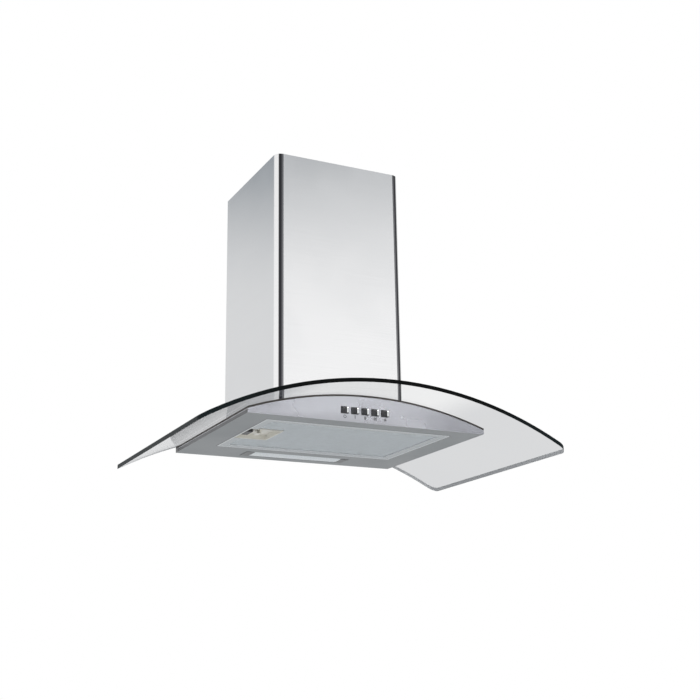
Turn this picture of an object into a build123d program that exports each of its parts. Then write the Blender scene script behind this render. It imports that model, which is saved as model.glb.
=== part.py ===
from build123d import *

import math
import os

os.makedirs("parts", exist_ok=True)

# A wall hood with an arched glass canopy. The origin is the middle of the rail's two wall holes, on the
# wall's face. +Y points into the wall, +Z up. Heights below are counted from the canopy's bottom face.
rail_height = 215.0

# Glass, an arch about an axis along Y
glass_width = 600.0
glass_depth = 410.0
glass_thickness = 6.0
glass_mid_height = 46.0
glass_corner_radius = 15.0
glass_wall_gap = 2.0
glass_notch_clearance = 3.0
glass_notch_corner = 8.0

# Sides of screws, of hidden round pieces and of the fan wheel's rims
small_sides = 10
round_sides = 18
wheel_sides = 36

# Canopy body
canopy_side_height = 6.3
canopy_side_margin = 42.0
canopy_front_margin = 32.0
canopy_back = 8.0
sheet = 1.0
cut_margin = 5.0
fascia_thickness = 1.2
gasket_thickness = 3.0
gasket_width = 11.0

# Grease filter opening in the tray
filter_opening_width = 316.0
filter_opening_depth = 211.0
filter_opening_gap = 25.0
filter_upstand = 14.0
filter_clearance = 0.8

# Grease filter
filter_height = 10.0
filter_rim = 14.0
filter_sheet = 1.2
mesh_sheet = 1.0
mesh_strand = 4.0
mesh_columns = 9
mesh_rows = 7
mesh_play = 0.3
backing_columns = 6
backing_rows = 4
lug_length = 7.0
lug_width = 12.0
lug_sheet = 1.5
lug_height = 4.0
lug_spacing = 120.0
lug_slot_low = 1.5
lug_slot_high = 9.5
lug_slot_side = 1.0

# Filter handle and latch
handle_width = 56.0
handle_depth = 72.0
handle_wall = 2.0
handle_gap = 0.3
handle_corner = 3.0
handle_rib = 2.0
handle_rib_depth = 14.0
handle_rib_gap = 8.0
handle_bridge = 0.9
latch_depth = 12.0
latch_thickness = 2.6
latch_height = 4.2
latch_nose = 2.4
latch_travel = 6.0
latch_knob_width = 11.0
latch_knob_depth = 24.0
latch_knob_drop = 3.6
latch_knob_edge = 0.8
latch_knob_gap = 1.2
latch_clearance = 0.3
latch_slot_side = 1.0
latch_slot_play = 0.4
spring_wire = 0.6
spring_radius = 1.6
spring_turns = 6
spring_steps = 6
spring_end_gap = 0.3

# Lamp
lamp_opening_width = 190.0
lamp_opening_depth = 34.0
lamp_back = 29.0
lamp_housing_height = 22.0
lamp_flange = 4.0
lamp_end = 15.0
lens_thickness = 2.0
lens_drop = 0.8
lens_edge = 0.3
lens_rise = 3.0
lamp_clearance = 0.6
clip_height = 12.0
led_count = 8
led_size = 3.0
led_height = 1.0
lamp_board_depth = 12.0

# Push buttons
button_count = 5
button_space = 2.6
button_width = 11.6
button_height = 10.0
button_middle = 17.5
button_side = -10.5
button_proud = 2.8
button_travel = 2.0
button_gap = 0.35
button_flange = 1.4
button_flange_thickness = 1.2
button_stem = 4.6
stem_gap = 0.3

# Switch carrier behind the fascia
carrier_end = 9.5
carrier_below = 11.5
carrier_rise = 13.5
carrier_depth = 15.0
carrier_wall = 3.0
carrier_corner = 2.0
guide_thickness = 3.0
guide_gap = 1.1
board_thickness = 1.6
board_play = 0.3
key_switch_size = 6.0
key_switch_depth = 3.4
plunger_radius = 1.6
plunger_length = 1.0
plunger_gap = 0.4

# Blower box
box_back = 10.0
box_top = 250.0
box_drop = 15.0
skin_collar_rise = 12.0
box_screw_radius = 1.5
box_screw_drop = 5.0
box_screw_head = 1.8
box_screw_length = 5.0
box_screw_margin = 50.0

# Impeller and scroll, turning about an axis along X
fan_axis_height = 150.0
impeller_radius = 62.0
blade_depth = 12.0
impeller_half_width = 44.0
impeller_ring = 2.0
impeller_ring_inset = 3.0
blade_count = 22
blade_thickness = 1.3
blade_bulge = 2.6
blade_lead_degrees = 7.0
blade_tip_inset = 1.0
hub_radius = 10.0
hub_foot_radius = 15.0
hub_foot_length = 2.5
hub_half_length = 11.0
hub_disc = 2.0
disc_gap = 0.1
press_gap = 0.02
scroll_start_gap = 6.0
scroll_growth = 28.0
scroll_start_degrees = 80.0
scroll_steps = 18
wheel_side_gap = 4.0
scroll_wall = 2.0
scroll_gap = 1.5
inlet_gap = 1.0
inlet_lip = 5.0
inlet_flare = 3.0
guard_ring_radius = 30.0
guard_bar = 3.0
guard_thickness = 2.2
guard_arms = 3
guard_start_degrees = 30.0

# Motor
motor_radius = 36.0
motor_hub_gap = 5.0
motor_past_scroll = 34.0
motor_end_gap = 12.0
motor_wall = 2.0
motor_edge = 1.5
motor_flange = 2.0
motor_flange_reach = 6.0
motor_cap_thickness = 4.0
motor_cap_recess = 2.0
shaft_radius = 4.0
shaft_clearance = 0.04
shaft_edge = 1.0
shaft_hole_gap = 1.0
shaft_past_bearing = 1.0
shaft_past_nut = 3.0
nut_length = 7.0
nut_across = 13.0
nut_sides = 6
bearing_radius = 9.0
bearing_width = 7.0
seat_gap = 0.05
rotor_radius = 19.0
rotor_length = 34.0
air_gap = 0.5
bracket_sheet = 2.0
bracket_arms = 3
bracket_start_degrees = 90.0
bracket_arm_width = 15.0
bracket_hole_margin = 8.0
bracket_rim = 1.0
bracket_gap = 0.3
grommet_radius = 6.0
grommet_length = 4.0
motor_screw_radius = 1.9
motor_screw_head = 2.4

# Electrical pieces on top of the blower box
capacitor_radius = 14.0
capacitor_height = 52.0
capacitor_edge = 2.0
capacitor_inset = 12.0
terminal_width = 76.0
terminal_depth = 44.0
terminal_height = 30.0
terminal_wall = 2.0
terminal_side_wall = 4.0
terminal_corner = 4.0
terminal_edge = 1.5
terminal_inset = 8.0
gland_inset = 18.0
gland_bore = 4.0
gland_thread = 7.0
gland_thread_length = 4.0
gland_across = 20.0
gland_nut_height = 5.0
gland_cap_height = 9.0
gland_cap_inset = 1.0
gland_cap_taper = 12.0

# Outlet collar and its flaps
spigot_radius = 59.5
spigot_wall = 2.0
spigot_bottom = 280.0
spigot_top = 330.0
collar_box_margin = 1.5
collar_flange_side = 12.5
collar_flange_end = 4.5
collar_flange = 3.0
collar_screw_radius = 1.7
collar_screw_head = 2.2
collar_screw_inset = 12.0
flap_height = 304.0
flap_thickness = 1.2
flap_gap = 1.0
flap_rest_gap = 0.3
flap_edge = 2.2
flap_pin_offset = 4.5
flap_pin_radius = 1.5
flap_pin_gap = 0.05
flap_pin_end_gap = 0.3
flap_knuckle_radius = 3.0
flap_knuckle_length = 14.0
flap_knuckle_spacing = 60.0
flap_stops = 4
flap_stop_start_degrees = 45.0
flap_stop = 3.0
flap_stop_width = 8.0
flap_stop_height = 2.0
flap_bar = 2.4

# Chimney covers
chimney_side_gap = 18.0
chimney_front_gap = 24.0
chimney_back = 8.0
chimney_top = 467.0
chimney_corner_radius = 12.5
chimney_lip = 13.0
chimney_glass_gap = 0.3
extension_gap = 0.6
extension_sheet = 0.8
extension_lip = 12.0
extension_top_drop = 1.0
extension_rise = 16.0
vent_slots = 6
vent_slot_length = 46.0
vent_slot_height = 4.0
vent_slot_pitch = 10.0
vent_slot_drop = 16.0
vent_slot_front = 10.0
bracket_drop = 31.0
bracket_height = 24.0
bracket_knee = 30.0
bracket_reach = 52.0
bracket_arm_gap = 1.4
bracket_tab_gap = 0.3
bracket_screw_back = 42.0
bracket_screw_radius = 1.6
bracket_hole_spacing = 120.0

# Wall rail and hook
rail_past_hook = 10.0
rail_sheet = 1.5
rail_low = -14.0
rail_web = 6.0
rail_lip_top = 22.0
rail_lip_front = 6.5
hook_inset = 16.0
hook_front_gap = 1.0
hook_low_gap = 1.5
wall_hole_inset = 20.0
wall_hole_radius = 3.0
lower_hole_spacing = 240.0
lower_hole_radius = 2.5
lower_hole_height = 12.0
spacer_radius = 8.0

# Worked out from the sizes above: the canopy goes round its filter and lamp, and its arch carries the glass
canopy_z = -rail_height
filter_opening_back = lamp_back + lamp_opening_depth + filter_opening_gap
canopy_front = filter_opening_back + filter_opening_depth + canopy_front_margin
canopy_width = filter_opening_width + 2 * canopy_side_margin
canopy_half = canopy_width / 2
canopy_length = canopy_front - canopy_back
fascia_back = canopy_front - fascia_thickness
skin_back = canopy_back + sheet
skin_rise = glass_mid_height - glass_thickness / 2 - gasket_thickness - canopy_side_height
skin_outer_radius = (canopy_half**2 + skin_rise**2) / (2 * skin_rise)
skin_inner_radius = skin_outer_radius - sheet
glass_inner_radius = skin_outer_radius + gasket_thickness
glass_outer_radius = glass_inner_radius + glass_thickness
glass_mid_radius = (glass_inner_radius + glass_outer_radius) / 2
arch_centre_z = canopy_z + glass_mid_height - glass_mid_radius
filter_middle_y = -(filter_opening_back + filter_opening_depth / 2)
filter_width = filter_opening_width - 2 * filter_clearance
filter_depth = filter_opening_depth - 2 * filter_clearance
lamp_middle_y = -(lamp_back + lamp_opening_depth / 2)
lens_width = lamp_opening_width - 2 * lamp_end
button_pitch = button_width + 2 * button_flange + button_space
carrier_width = button_count * button_pitch + 2 * carrier_end
carrier_bottom = button_middle - carrier_below
carrier_top = button_middle + carrier_rise

# The blower box goes round the scroll, and the chimney round the blower box
impeller_inner_radius = impeller_radius - blade_depth
inlet_radius = impeller_inner_radius + inlet_gap
scroll_start_radius = impeller_radius + scroll_start_gap
scroll_end_radius = scroll_start_radius + scroll_growth
fan_axis_back = box_back + sheet + scroll_gap + scroll_wall + scroll_end_radius
box_front = fan_axis_back + scroll_end_radius + scroll_gap
scroll_half_width = impeller_half_width + wheel_side_gap
motor_near = hub_half_length + motor_hub_gap
motor_far = scroll_half_width + scroll_wall + motor_past_scroll
box_half = motor_far + motor_end_gap
box_width = 2 * box_half
box_length = box_front - box_back
box_middle_y = -(box_front + box_back) / 2
box_bottom = glass_mid_height - box_drop
skin_collar_top = glass_mid_height + skin_collar_rise
fan_axis_z = canopy_z + fan_axis_height
motor_flange_radius = motor_radius + motor_flange_reach
bracket_hole_circle = inlet_radius + bracket_hole_margin
spigot_inner = spigot_radius - spigot_wall
collar_box_half = spigot_radius + collar_box_margin
collar_flange_width = 2 * (spigot_radius + collar_flange_side)
collar_flange_depth = 2 * (spigot_radius + collar_flange_end)
collar_front = box_back + collar_flange_depth
spigot_back = (box_back + collar_front) / 2
electric_back = (collar_front + box_front) / 2
capacitor_side = -(box_half - capacitor_inset - capacitor_radius)
terminal_side = box_half - terminal_inset - terminal_width / 2
gland_side = box_half - terminal_inset - gland_inset
chimney_width = box_width + 2 * chimney_side_gap
chimney_front = box_front + chimney_front_gap
chimney_bottom = glass_mid_height - box_drop - sheet
extension_bottom = glass_mid_height + extension_rise
bracket_low = chimney_top - bracket_drop
hook_width = box_width - 2 * hook_inset
rail_width = hook_width + 2 * rail_past_hook
wall_hole_spacing = rail_width - 2 * wall_hole_inset
hook_lip_front = rail_lip_front - rail_sheet - hook_front_gap
hook_lip_low = rail_web + rail_sheet + hook_low_gap
duct_front_y = -fan_axis_back + scroll_start_radius * math.cos(math.radians(scroll_start_degrees))
duct_back_y = -fan_axis_back + scroll_end_radius
duct_depth = duct_back_y - duct_front_y
duct_middle_y = (duct_back_y + duct_front_y) / 2


def above(height):
    """Z of a height counted from the canopy's bottom face."""
    return canopy_z + height


def arch_z(radius, x):
    """Z of one of the arch's cylinders at a distance x from the middle."""
    return arch_centre_z + math.sqrt(radius**2 - x**2)


def write_part(builder, label):
    """Label a finished piece and write it under its own name."""
    builder.part.label = label
    export_step(builder.part, f"parts/{label}.step")


def arch_band(inner_radius, outer_radius, half_width, distance):
    """Section between two cylinders of the arch, with upright ends, at a distance from the wall."""
    with BuildSketch(Plane.XZ.offset(distance)) as section:
        with BuildLine():
            crown = ThreePointArc(
                (-half_width, arch_z(outer_radius, half_width)),
                (0, arch_z(outer_radius, 0)),
                (half_width, arch_z(outer_radius, half_width)),
            )
            belly = ThreePointArc(
                (-half_width, arch_z(inner_radius, half_width)),
                (0, arch_z(inner_radius, 0)),
                (half_width, arch_z(inner_radius, half_width)),
            )
            Line(crown @ 0, belly @ 0)
            Line(crown @ 1, belly @ 1)
        make_face()
    return section.sketch


def arch_panel(radius, half_width, bottom_z, distance):
    """Upright panel with a straight bottom and sides and an arched top."""
    with BuildSketch(Plane.XZ.offset(distance)) as section:
        with BuildLine():
            crown = ThreePointArc(
                (-half_width, arch_z(radius, half_width)),
                (0, arch_z(radius, 0)),
                (half_width, arch_z(radius, half_width)),
            )
            Polyline(crown @ 0, (-half_width, bottom_z), (half_width, bottom_z), crown @ 1)
        make_face()
    return section.sketch


def glass_plane(x, y, radius):
    """Plane square to the arch, on the radius that meets the glass at x, with its normal outwards."""
    lean = math.asin(x / glass_mid_radius)
    return Plane(
        origin=(radius * math.sin(lean), y, arch_centre_z + radius * math.cos(lean)),
        x_dir=(math.cos(lean), 0, -math.sin(lean)),
        z_dir=(math.sin(lean), 0, math.cos(lean)),
    )


def cover_section(half_width, front, back, radius, thickness, lip, z):
    """U-shaped section of a chimney cover, round at the front, with lips along the wall."""
    depth = front - back
    with BuildSketch(Plane((0, -(front + back) / 2, z))) as section:
        Rectangle(2 * half_width, depth)
        fillet(section.vertices().group_by(Axis.Y)[0], radius)
        offset(amount=-thickness, kind=Kind.INTERSECTION, mode=Mode.SUBTRACT)
        with Locations((0, depth / 2)):
            Rectangle(2 * (half_width - lip), 2 * radius, mode=Mode.SUBTRACT)
    return section.sketch


# Glass canopy
glass_screw_side = 60.0
glass_screw_front = 81.0
glass_screw_rear = 42.0
glass_screw_hole = 3.5
glass_screw_radius = 2.0
screw_clearance = 0.2
glass_play = 0.1
glass_screw_places = [
    (x, -y)
    for x in (glass_screw_side - canopy_half, canopy_half - glass_screw_side)
    for y in (canopy_front - glass_screw_front, canopy_back + glass_screw_rear)
]
glass_notch_half = box_half + sheet + glass_notch_clearance
glass_notch_front = box_front + sheet + glass_notch_clearance

with BuildPart() as glass_canopy:
    extrude(
        arch_band(glass_inner_radius, glass_outer_radius, glass_width / 2 + cut_margin, 0),
        amount=glass_wall_gap + glass_depth + cut_margin,
    )
    with BuildSketch(Plane.XY.offset(arch_z(glass_inner_radius, glass_width / 2) - 2 * glass_thickness)):
        with Locations((0, -glass_wall_gap - glass_depth / 2)):
            RectangleRounded(glass_width, glass_depth, glass_corner_radius)
        with Locations((0, -glass_wall_gap)):
            RectangleRounded(
                2 * glass_notch_half,
                2 * (glass_notch_front - glass_wall_gap),
                glass_notch_corner,
                mode=Mode.SUBTRACT,
            )
    extrude(amount=rail_height, mode=Mode.INTERSECT)
    for x, y in glass_screw_places:
        with BuildSketch(glass_plane(x, y, glass_mid_radius)):
            RegularPolygon(glass_screw_hole, small_sides)
        extrude(amount=glass_thickness, both=True, mode=Mode.SUBTRACT)
write_part(glass_canopy, "glass_canopy")

# Gasket between the glass and the canopy's arched rim, open over the notch
with BuildPart() as glass_gasket:
    extrude(
        arch_band(skin_outer_radius, glass_inner_radius, canopy_half, canopy_back),
        amount=canopy_length,
    )
    with BuildSketch(Plane.XY.offset(above(0))):
        with Locations((0, -(canopy_front + canopy_back) / 2)):
            Rectangle(canopy_width - 2 * gasket_width, canopy_length - 2 * gasket_width)
        with Locations((0, -canopy_back)):
            Rectangle(2 * glass_notch_half, 4 * gasket_width)
    extrude(amount=rail_height, mode=Mode.SUBTRACT)
write_part(glass_gasket, "glass_gasket")

# Canopy tray: floor, low sides, arched back and an upstand round the filter opening
upstand_outline = (filter_opening_width + 2 * sheet, filter_opening_depth + 2 * sheet)
side_top = arch_z(skin_inner_radius, canopy_half)

with BuildPart() as canopy_tray:
    with BuildSketch(Plane.XY.offset(canopy_z)):
        with Locations((0, -(fascia_back + canopy_back) / 2)):
            Rectangle(canopy_width, fascia_back - canopy_back)
    extrude(amount=sheet)
    with BuildSketch(Plane.XY.offset(canopy_z)):
        with Locations((0, -(fascia_back + canopy_back) / 2)):
            with GridLocations(canopy_width - sheet, 0, 2, 1):
                Rectangle(sheet, fascia_back - canopy_back)
    extrude(amount=side_top - canopy_z)
    extrude(arch_panel(skin_outer_radius, canopy_half, canopy_z, canopy_back), amount=sheet)
    with BuildSketch(Plane.XY.offset(canopy_z)):
        with Locations((0, filter_middle_y)):
            Rectangle(*upstand_outline)
    extrude(amount=filter_upstand)
    with BuildSketch(Plane.XY.offset(canopy_z)):
        with Locations((0, filter_middle_y)):
            Rectangle(filter_opening_width, filter_opening_depth)
        with Locations((0, lamp_middle_y)):
            Rectangle(lamp_opening_width, lamp_opening_depth)
    extrude(amount=filter_upstand, mode=Mode.SUBTRACT)
    with BuildSketch(Plane.YZ.offset(filter_opening_width / 2)):
        with Locations((filter_middle_y, above((lug_slot_low + lug_slot_high) / 2))):
            with GridLocations(lug_spacing, 0, 2, 1):
                Rectangle(lug_width + 2 * lug_slot_side, lug_slot_high - lug_slot_low)
    extrude(amount=sheet, mode=Mode.SUBTRACT)
    with BuildSketch(Plane.YZ.offset(-filter_opening_width / 2)):
        with Locations((filter_middle_y, above(latch_height + latch_thickness / 2))):
            Rectangle(latch_depth + 2 * latch_slot_side, latch_thickness + 2 * latch_slot_play)
    extrude(amount=-sheet, mode=Mode.SUBTRACT)
    with BuildSketch(Plane.XZ.offset(canopy_back)):
        with Locations((0, above(lower_hole_height))):
            with GridLocations(lower_hole_spacing, 0, 2, 1):
                Circle(lower_hole_radius)
    extrude(amount=sheet, mode=Mode.SUBTRACT)
write_part(canopy_tray, "canopy_tray")

# Control fascia: the arched front with a window for each button
with BuildPart() as control_fascia:
    extrude(arch_panel(skin_outer_radius, canopy_half, canopy_z, fascia_back), amount=fascia_thickness)
    with BuildSketch(Plane.XZ.offset(fascia_back)):
        with Locations((button_side, above(button_middle))):
            with GridLocations(button_pitch, 0, button_count, 1):
                Rectangle(button_width + 2 * button_gap, button_height + 2 * button_gap)
    extrude(amount=fascia_thickness, mode=Mode.SUBTRACT)
write_part(control_fascia, "control_fascia")

box_screw_places = [
    (-y, above(skin_collar_top - box_screw_drop))
    for y in (box_back + box_screw_margin, box_front - box_screw_margin)
]

# Canopy top: arched skin with side flanges and an upright collar round the blower box
with BuildPart() as canopy_top:
    extrude(
        arch_band(skin_inner_radius, skin_outer_radius, canopy_half, skin_back),
        amount=fascia_back - skin_back,
    )
    with BuildSketch(Plane.XY.offset(above(sheet))):
        with Locations((0, -(fascia_back + skin_back) / 2)):
            with GridLocations(canopy_width - 3 * sheet, 0, 2, 1):
                Rectangle(sheet, fascia_back - skin_back)
    extrude(amount=side_top - above(sheet) + sheet / 2)
    with BuildSketch(Plane.XY.offset(above(box_bottom))):
        with Locations((0, box_middle_y)):
            Rectangle(box_width + 2 * sheet, box_length + 2 * sheet)
    extrude(amount=skin_collar_top - box_bottom)
    with BuildSketch(Plane.XY.offset(above(box_bottom))):
        with Locations((0, box_middle_y)):
            Rectangle(box_width, box_length)
    extrude(amount=skin_collar_top - box_bottom, mode=Mode.SUBTRACT)
    for x, y in glass_screw_places:
        with BuildSketch(glass_plane(x, y, skin_outer_radius)):
            RegularPolygon(glass_screw_radius + screw_clearance, small_sides)
        extrude(amount=2 * sheet, both=True, mode=Mode.SUBTRACT)
    with BuildSketch(Plane.YZ):
        with Locations(*box_screw_places):
            RegularPolygon(box_screw_radius + screw_clearance, small_sides)
    extrude(amount=canopy_half, both=True, mode=Mode.SUBTRACT)
write_part(canopy_top, "canopy_top")

# Washers and screws that hold the glass
washer_radius = 9.0
washer_thickness = 1.0
washer_top = glass_outer_radius + glass_play + washer_thickness
glass_screw_tail = 6.0
glass_screw_head = 7.5
screw_head_height = 2.6
screw_head_taper = 30.0

with BuildPart() as glass_washers:
    for x, y in glass_screw_places:
        with BuildSketch(glass_plane(x, y, glass_outer_radius + glass_play)):
            RegularPolygon(washer_radius, small_sides)
            RegularPolygon(glass_screw_radius + screw_clearance, small_sides, mode=Mode.SUBTRACT)
        extrude(amount=washer_thickness)
        with BuildSketch(glass_plane(x, y, skin_outer_radius + glass_play)):
            RegularPolygon(washer_radius, small_sides)
            RegularPolygon(glass_screw_radius + screw_clearance, small_sides, mode=Mode.SUBTRACT)
        extrude(amount=gasket_thickness - 2 * glass_play)
write_part(glass_washers, "glass_washers")

with BuildPart() as glass_screws:
    for x, y in glass_screw_places:
        with BuildSketch(glass_plane(x, y, skin_inner_radius - glass_screw_tail)):
            RegularPolygon(glass_screw_radius, small_sides)
        extrude(amount=washer_top - skin_inner_radius + glass_screw_tail)
        with BuildSketch(glass_plane(x, y, washer_top)):
            RegularPolygon(glass_screw_head, small_sides)
        extrude(amount=screw_head_height, taper=screw_head_taper)
write_part(glass_screws, "glass_screws")

# Blower box: steel box over the opening, with the hook that hangs on the wall rail
with BuildPart() as blower_box:
    with BuildSketch(Plane.XY.offset(above(box_bottom))):
        with Locations((0, box_middle_y)):
            Rectangle(box_width, box_length)
    extrude(amount=box_top - box_bottom)
    with BuildSketch(Plane.XY.offset(above(box_bottom))):
        with Locations((0, box_middle_y)):
            Rectangle(box_width - 2 * sheet, box_length - 2 * sheet)
    extrude(amount=box_top - box_bottom - sheet, mode=Mode.SUBTRACT)
    with BuildSketch(Plane.XY.offset(above(box_top))):
        with Locations((0, duct_middle_y)):
            Rectangle(2 * scroll_half_width, duct_depth)
    extrude(amount=-sheet, mode=Mode.SUBTRACT)
    with BuildSketch(Plane.YZ.offset(-hook_width / 2)):
        with BuildLine():
            Polyline(
                (-box_back, hook_lip_low),
                (-box_back, rail_lip_top + rail_sheet),
                (-hook_lip_front + rail_sheet, rail_lip_top + rail_sheet),
                (-hook_lip_front + rail_sheet, hook_lip_low),
                (-hook_lip_front, hook_lip_low),
                (-hook_lip_front, rail_lip_top),
                (-box_back + rail_sheet, rail_lip_top),
                (-box_back + rail_sheet, hook_lip_low),
                close=True,
            )
        make_face()
    extrude(amount=hook_width)
    with BuildSketch(Plane.YZ):
        with Locations(*box_screw_places):
            RegularPolygon(box_screw_radius + screw_clearance, small_sides)
    extrude(amount=canopy_half, both=True, mode=Mode.SUBTRACT)
write_part(blower_box, "blower_box")

with BuildPart() as box_screws:
    for side in (-1, 1):
        with BuildSketch(Plane.YZ.offset(side * (box_half + sheet))):
            with Locations(*box_screw_places):
                RegularPolygon(2 * box_screw_radius, small_sides)
        extrude(amount=side * box_screw_head)
        with BuildSketch(Plane.YZ.offset(side * (box_half + sheet))):
            with Locations(*box_screw_places):
                RegularPolygon(box_screw_radius, small_sides)
        extrude(amount=-side * box_screw_length)
write_part(box_screws, "box_screws")

# Wall rail that the hook drops over, and the spacers behind the canopy's lower wall holes
with BuildPart() as wall_rail:
    with BuildSketch(Plane.YZ.offset(-rail_width / 2)):
        with BuildLine():
            Polyline(
                (0, rail_low),
                (0, rail_lip_top),
                (-rail_sheet, rail_lip_top),
                (-rail_sheet, rail_web + rail_sheet),
                (-rail_lip_front + rail_sheet, rail_web + rail_sheet),
                (-rail_lip_front + rail_sheet, rail_lip_top),
                (-rail_lip_front, rail_lip_top),
                (-rail_lip_front, rail_web),
                (-rail_sheet, rail_web),
                (-rail_sheet, rail_low),
                close=True,
            )
        make_face()
    extrude(amount=rail_width)
    with BuildSketch(Plane.XZ):
        with GridLocations(wall_hole_spacing, 0, 2, 1):
            Circle(wall_hole_radius)
    extrude(amount=rail_sheet, mode=Mode.SUBTRACT)
write_part(wall_rail, "wall_rail")

with BuildPart() as wall_spacers:
    with BuildSketch(Plane.XZ):
        with Locations((0, above(lower_hole_height))):
            with GridLocations(lower_hole_spacing, 0, 2, 1):
                RegularPolygon(spacer_radius, small_sides)
                Circle(lower_hole_radius, mode=Mode.SUBTRACT)
    extrude(amount=canopy_back)
write_part(wall_spacers, "wall_spacers")


def scroll_outline(distance, wall=0.0):
    """Inside of the scroll, or its outside with a wall: a spiral round the fan and an upright duct."""
    points = []
    for step in range(scroll_steps + 1):
        share = step / scroll_steps
        angle = math.radians(scroll_start_degrees + (360 - scroll_start_degrees) * share)
        radius = scroll_start_radius + wall + scroll_growth * share
        points.append((-fan_axis_back + radius * math.cos(angle), fan_axis_z + radius * math.sin(angle)))
    duct_height = above(box_top - sheet) - fan_axis_z
    with BuildSketch(Plane.YZ.offset(distance)) as section:
        with BuildLine():
            Polyline(*points, (points[0][0], fan_axis_z), close=True)
        make_face()
        with Locations((duct_middle_y, fan_axis_z)):
            Rectangle(duct_depth + 2 * wall, duct_height, align=(Align.CENTER, Align.MIN))
    return section.sketch


# Scroll casing: left side wall and the spiral band in one moulding
with BuildPart() as scroll_casing:
    extrude(
        scroll_outline(-scroll_half_width - scroll_wall, scroll_wall),
        amount=2 * scroll_half_width + scroll_wall,
    )
    extrude(scroll_outline(-scroll_half_width), amount=2 * scroll_half_width, mode=Mode.SUBTRACT)
    with BuildSketch(Plane.YZ.offset(-scroll_half_width - scroll_wall)):
        with Locations((-fan_axis_back, fan_axis_z)):
            RegularPolygon(inlet_radius, wheel_sides, major_radius=False)
            with PolarLocations(bracket_hole_circle, bracket_arms, bracket_start_degrees):
                RegularPolygon(motor_screw_radius + screw_clearance, small_sides)
    extrude(amount=scroll_wall, mode=Mode.SUBTRACT)
write_part(scroll_casing, "scroll_casing")


def ring_section(distance, sides, outer, inner=0.0):
    """Many-sided disc or ring about the fan's axis, at a distance along it; radii go to its flats."""
    with BuildSketch(Plane.YZ.offset(distance)) as section:
        with Locations((-fan_axis_back, fan_axis_z)):
            RegularPolygon(outer, sides, major_radius=False)
            if inner > 0:
                RegularPolygon(inner, sides, major_radius=False, mode=Mode.SUBTRACT)
    return section.sketch


# Scroll cover: right side wall with its flared inlet
lip_end = scroll_half_width + inlet_lip + inlet_flare

with BuildPart() as scroll_cover:
    extrude(scroll_outline(scroll_half_width, scroll_wall), amount=scroll_wall)
    extrude(
        ring_section(scroll_half_width, wheel_sides, inlet_radius + inlet_lip),
        amount=lip_end - scroll_half_width,
    )
    extrude(
        ring_section(scroll_half_width, wheel_sides, inlet_radius),
        amount=lip_end - scroll_half_width,
        mode=Mode.SUBTRACT,
    )
    chamfer(scroll_cover.faces().sort_by(Axis.X)[-1].inner_wires()[0].edges(), inlet_flare)
write_part(scroll_cover, "scroll_cover")

# Inlet guard: a ring on three arms that rest on the inlet's lip
guard_arm_start = guard_ring_radius - guard_bar / 2
guard_arm_end = inlet_radius + inlet_lip

with BuildPart() as inlet_guard:
    extrude(
        ring_section(lip_end, small_sides, guard_ring_radius, guard_ring_radius - guard_bar),
        amount=guard_thickness,
    )
    with BuildSketch(Plane.YZ.offset(lip_end)):
        with Locations((-fan_axis_back, fan_axis_z)):
            with PolarLocations((guard_arm_start + guard_arm_end) / 2, guard_arms, guard_start_degrees):
                Rectangle(guard_arm_end - guard_arm_start, guard_bar)
    extrude(amount=guard_thickness)
write_part(inlet_guard, "inlet_guard")

# Impeller: a hub with its centre disc, forward-curved blades round it, and a ring at each end
blade_step = math.radians(blade_lead_degrees)
blade_skew = blade_thickness / impeller_inner_radius
blade_tip_radius = impeller_radius - blade_tip_inset
blade_middle_radius = (impeller_inner_radius + blade_tip_radius) / 2
blade_middle_angle = blade_step / 2 - blade_bulge / blade_middle_radius
blade_end = impeller_half_width - impeller_ring
disc_radius = (impeller_inner_radius - disc_gap) * math.cos(math.pi / wheel_sides)


def blade_point(radius, angle):
    """Point of a blade's section at a radius and an angle about the fan's axis."""
    return (radius * math.cos(angle), radius * math.sin(angle))


with BuildSketch() as blade:
    with BuildLine():
        Polyline(
            blade_point(impeller_inner_radius, 0),
            blade_point(blade_middle_radius, blade_middle_angle),
            blade_point(blade_tip_radius, blade_step),
            blade_point(blade_tip_radius, blade_step - blade_skew),
            blade_point(blade_middle_radius, blade_middle_angle - blade_skew),
            blade_point(impeller_inner_radius, -blade_skew),
            close=True,
        )
    make_face()

with BuildPart() as impeller:
    extrude(ring_section(-hub_half_length, small_sides, hub_radius), amount=2 * hub_half_length)
    extrude(ring_section(-hub_foot_length, small_sides, hub_foot_radius), amount=2 * hub_foot_length)
    extrude(ring_section(-hub_disc / 2, wheel_sides, disc_radius), amount=hub_disc)
    extrude(
        ring_section(-hub_half_length, small_sides, shaft_radius + press_gap),
        amount=2 * hub_half_length,
        mode=Mode.SUBTRACT,
    )
write_part(impeller, "impeller")

with BuildPart() as impeller_blades:
    with BuildSketch(Plane.YZ.offset(-blade_end)):
        with Locations((-fan_axis_back, fan_axis_z)):
            with PolarLocations(0, blade_count):
                add(blade.sketch)
    extrude(amount=2 * blade_end)
write_part(impeller_blades, "impeller_blades")

with BuildPart() as impeller_rings:
    for ring_start in (-impeller_half_width, blade_end):
        extrude(
            ring_section(
                ring_start,
                wheel_sides,
                impeller_radius * math.cos(math.pi / wheel_sides),
                impeller_inner_radius + impeller_ring_inset,
            ),
            amount=impeller_ring,
        )
write_part(impeller_rings, "impeller_rings")

# Motor shaft with its rotor, and the nut that holds the impeller
can_open_end = motor_cap_thickness - motor_far
shaft_left = can_open_end - shaft_past_bearing
shaft_right = hub_half_length + nut_length + shaft_past_nut

with BuildPart() as motor_shaft:
    with BuildSketch(Plane.YZ.offset(shaft_left)):
        with Locations((-fan_axis_back, fan_axis_z)):
            Circle(shaft_radius)
    extrude(amount=shaft_right - shaft_left)
    chamfer(motor_shaft.faces().sort_by(Axis.X)[-1].edges(), shaft_edge)
write_part(motor_shaft, "motor_shaft")

rotor_start = -(motor_near + motor_far + rotor_length) / 2

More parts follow.
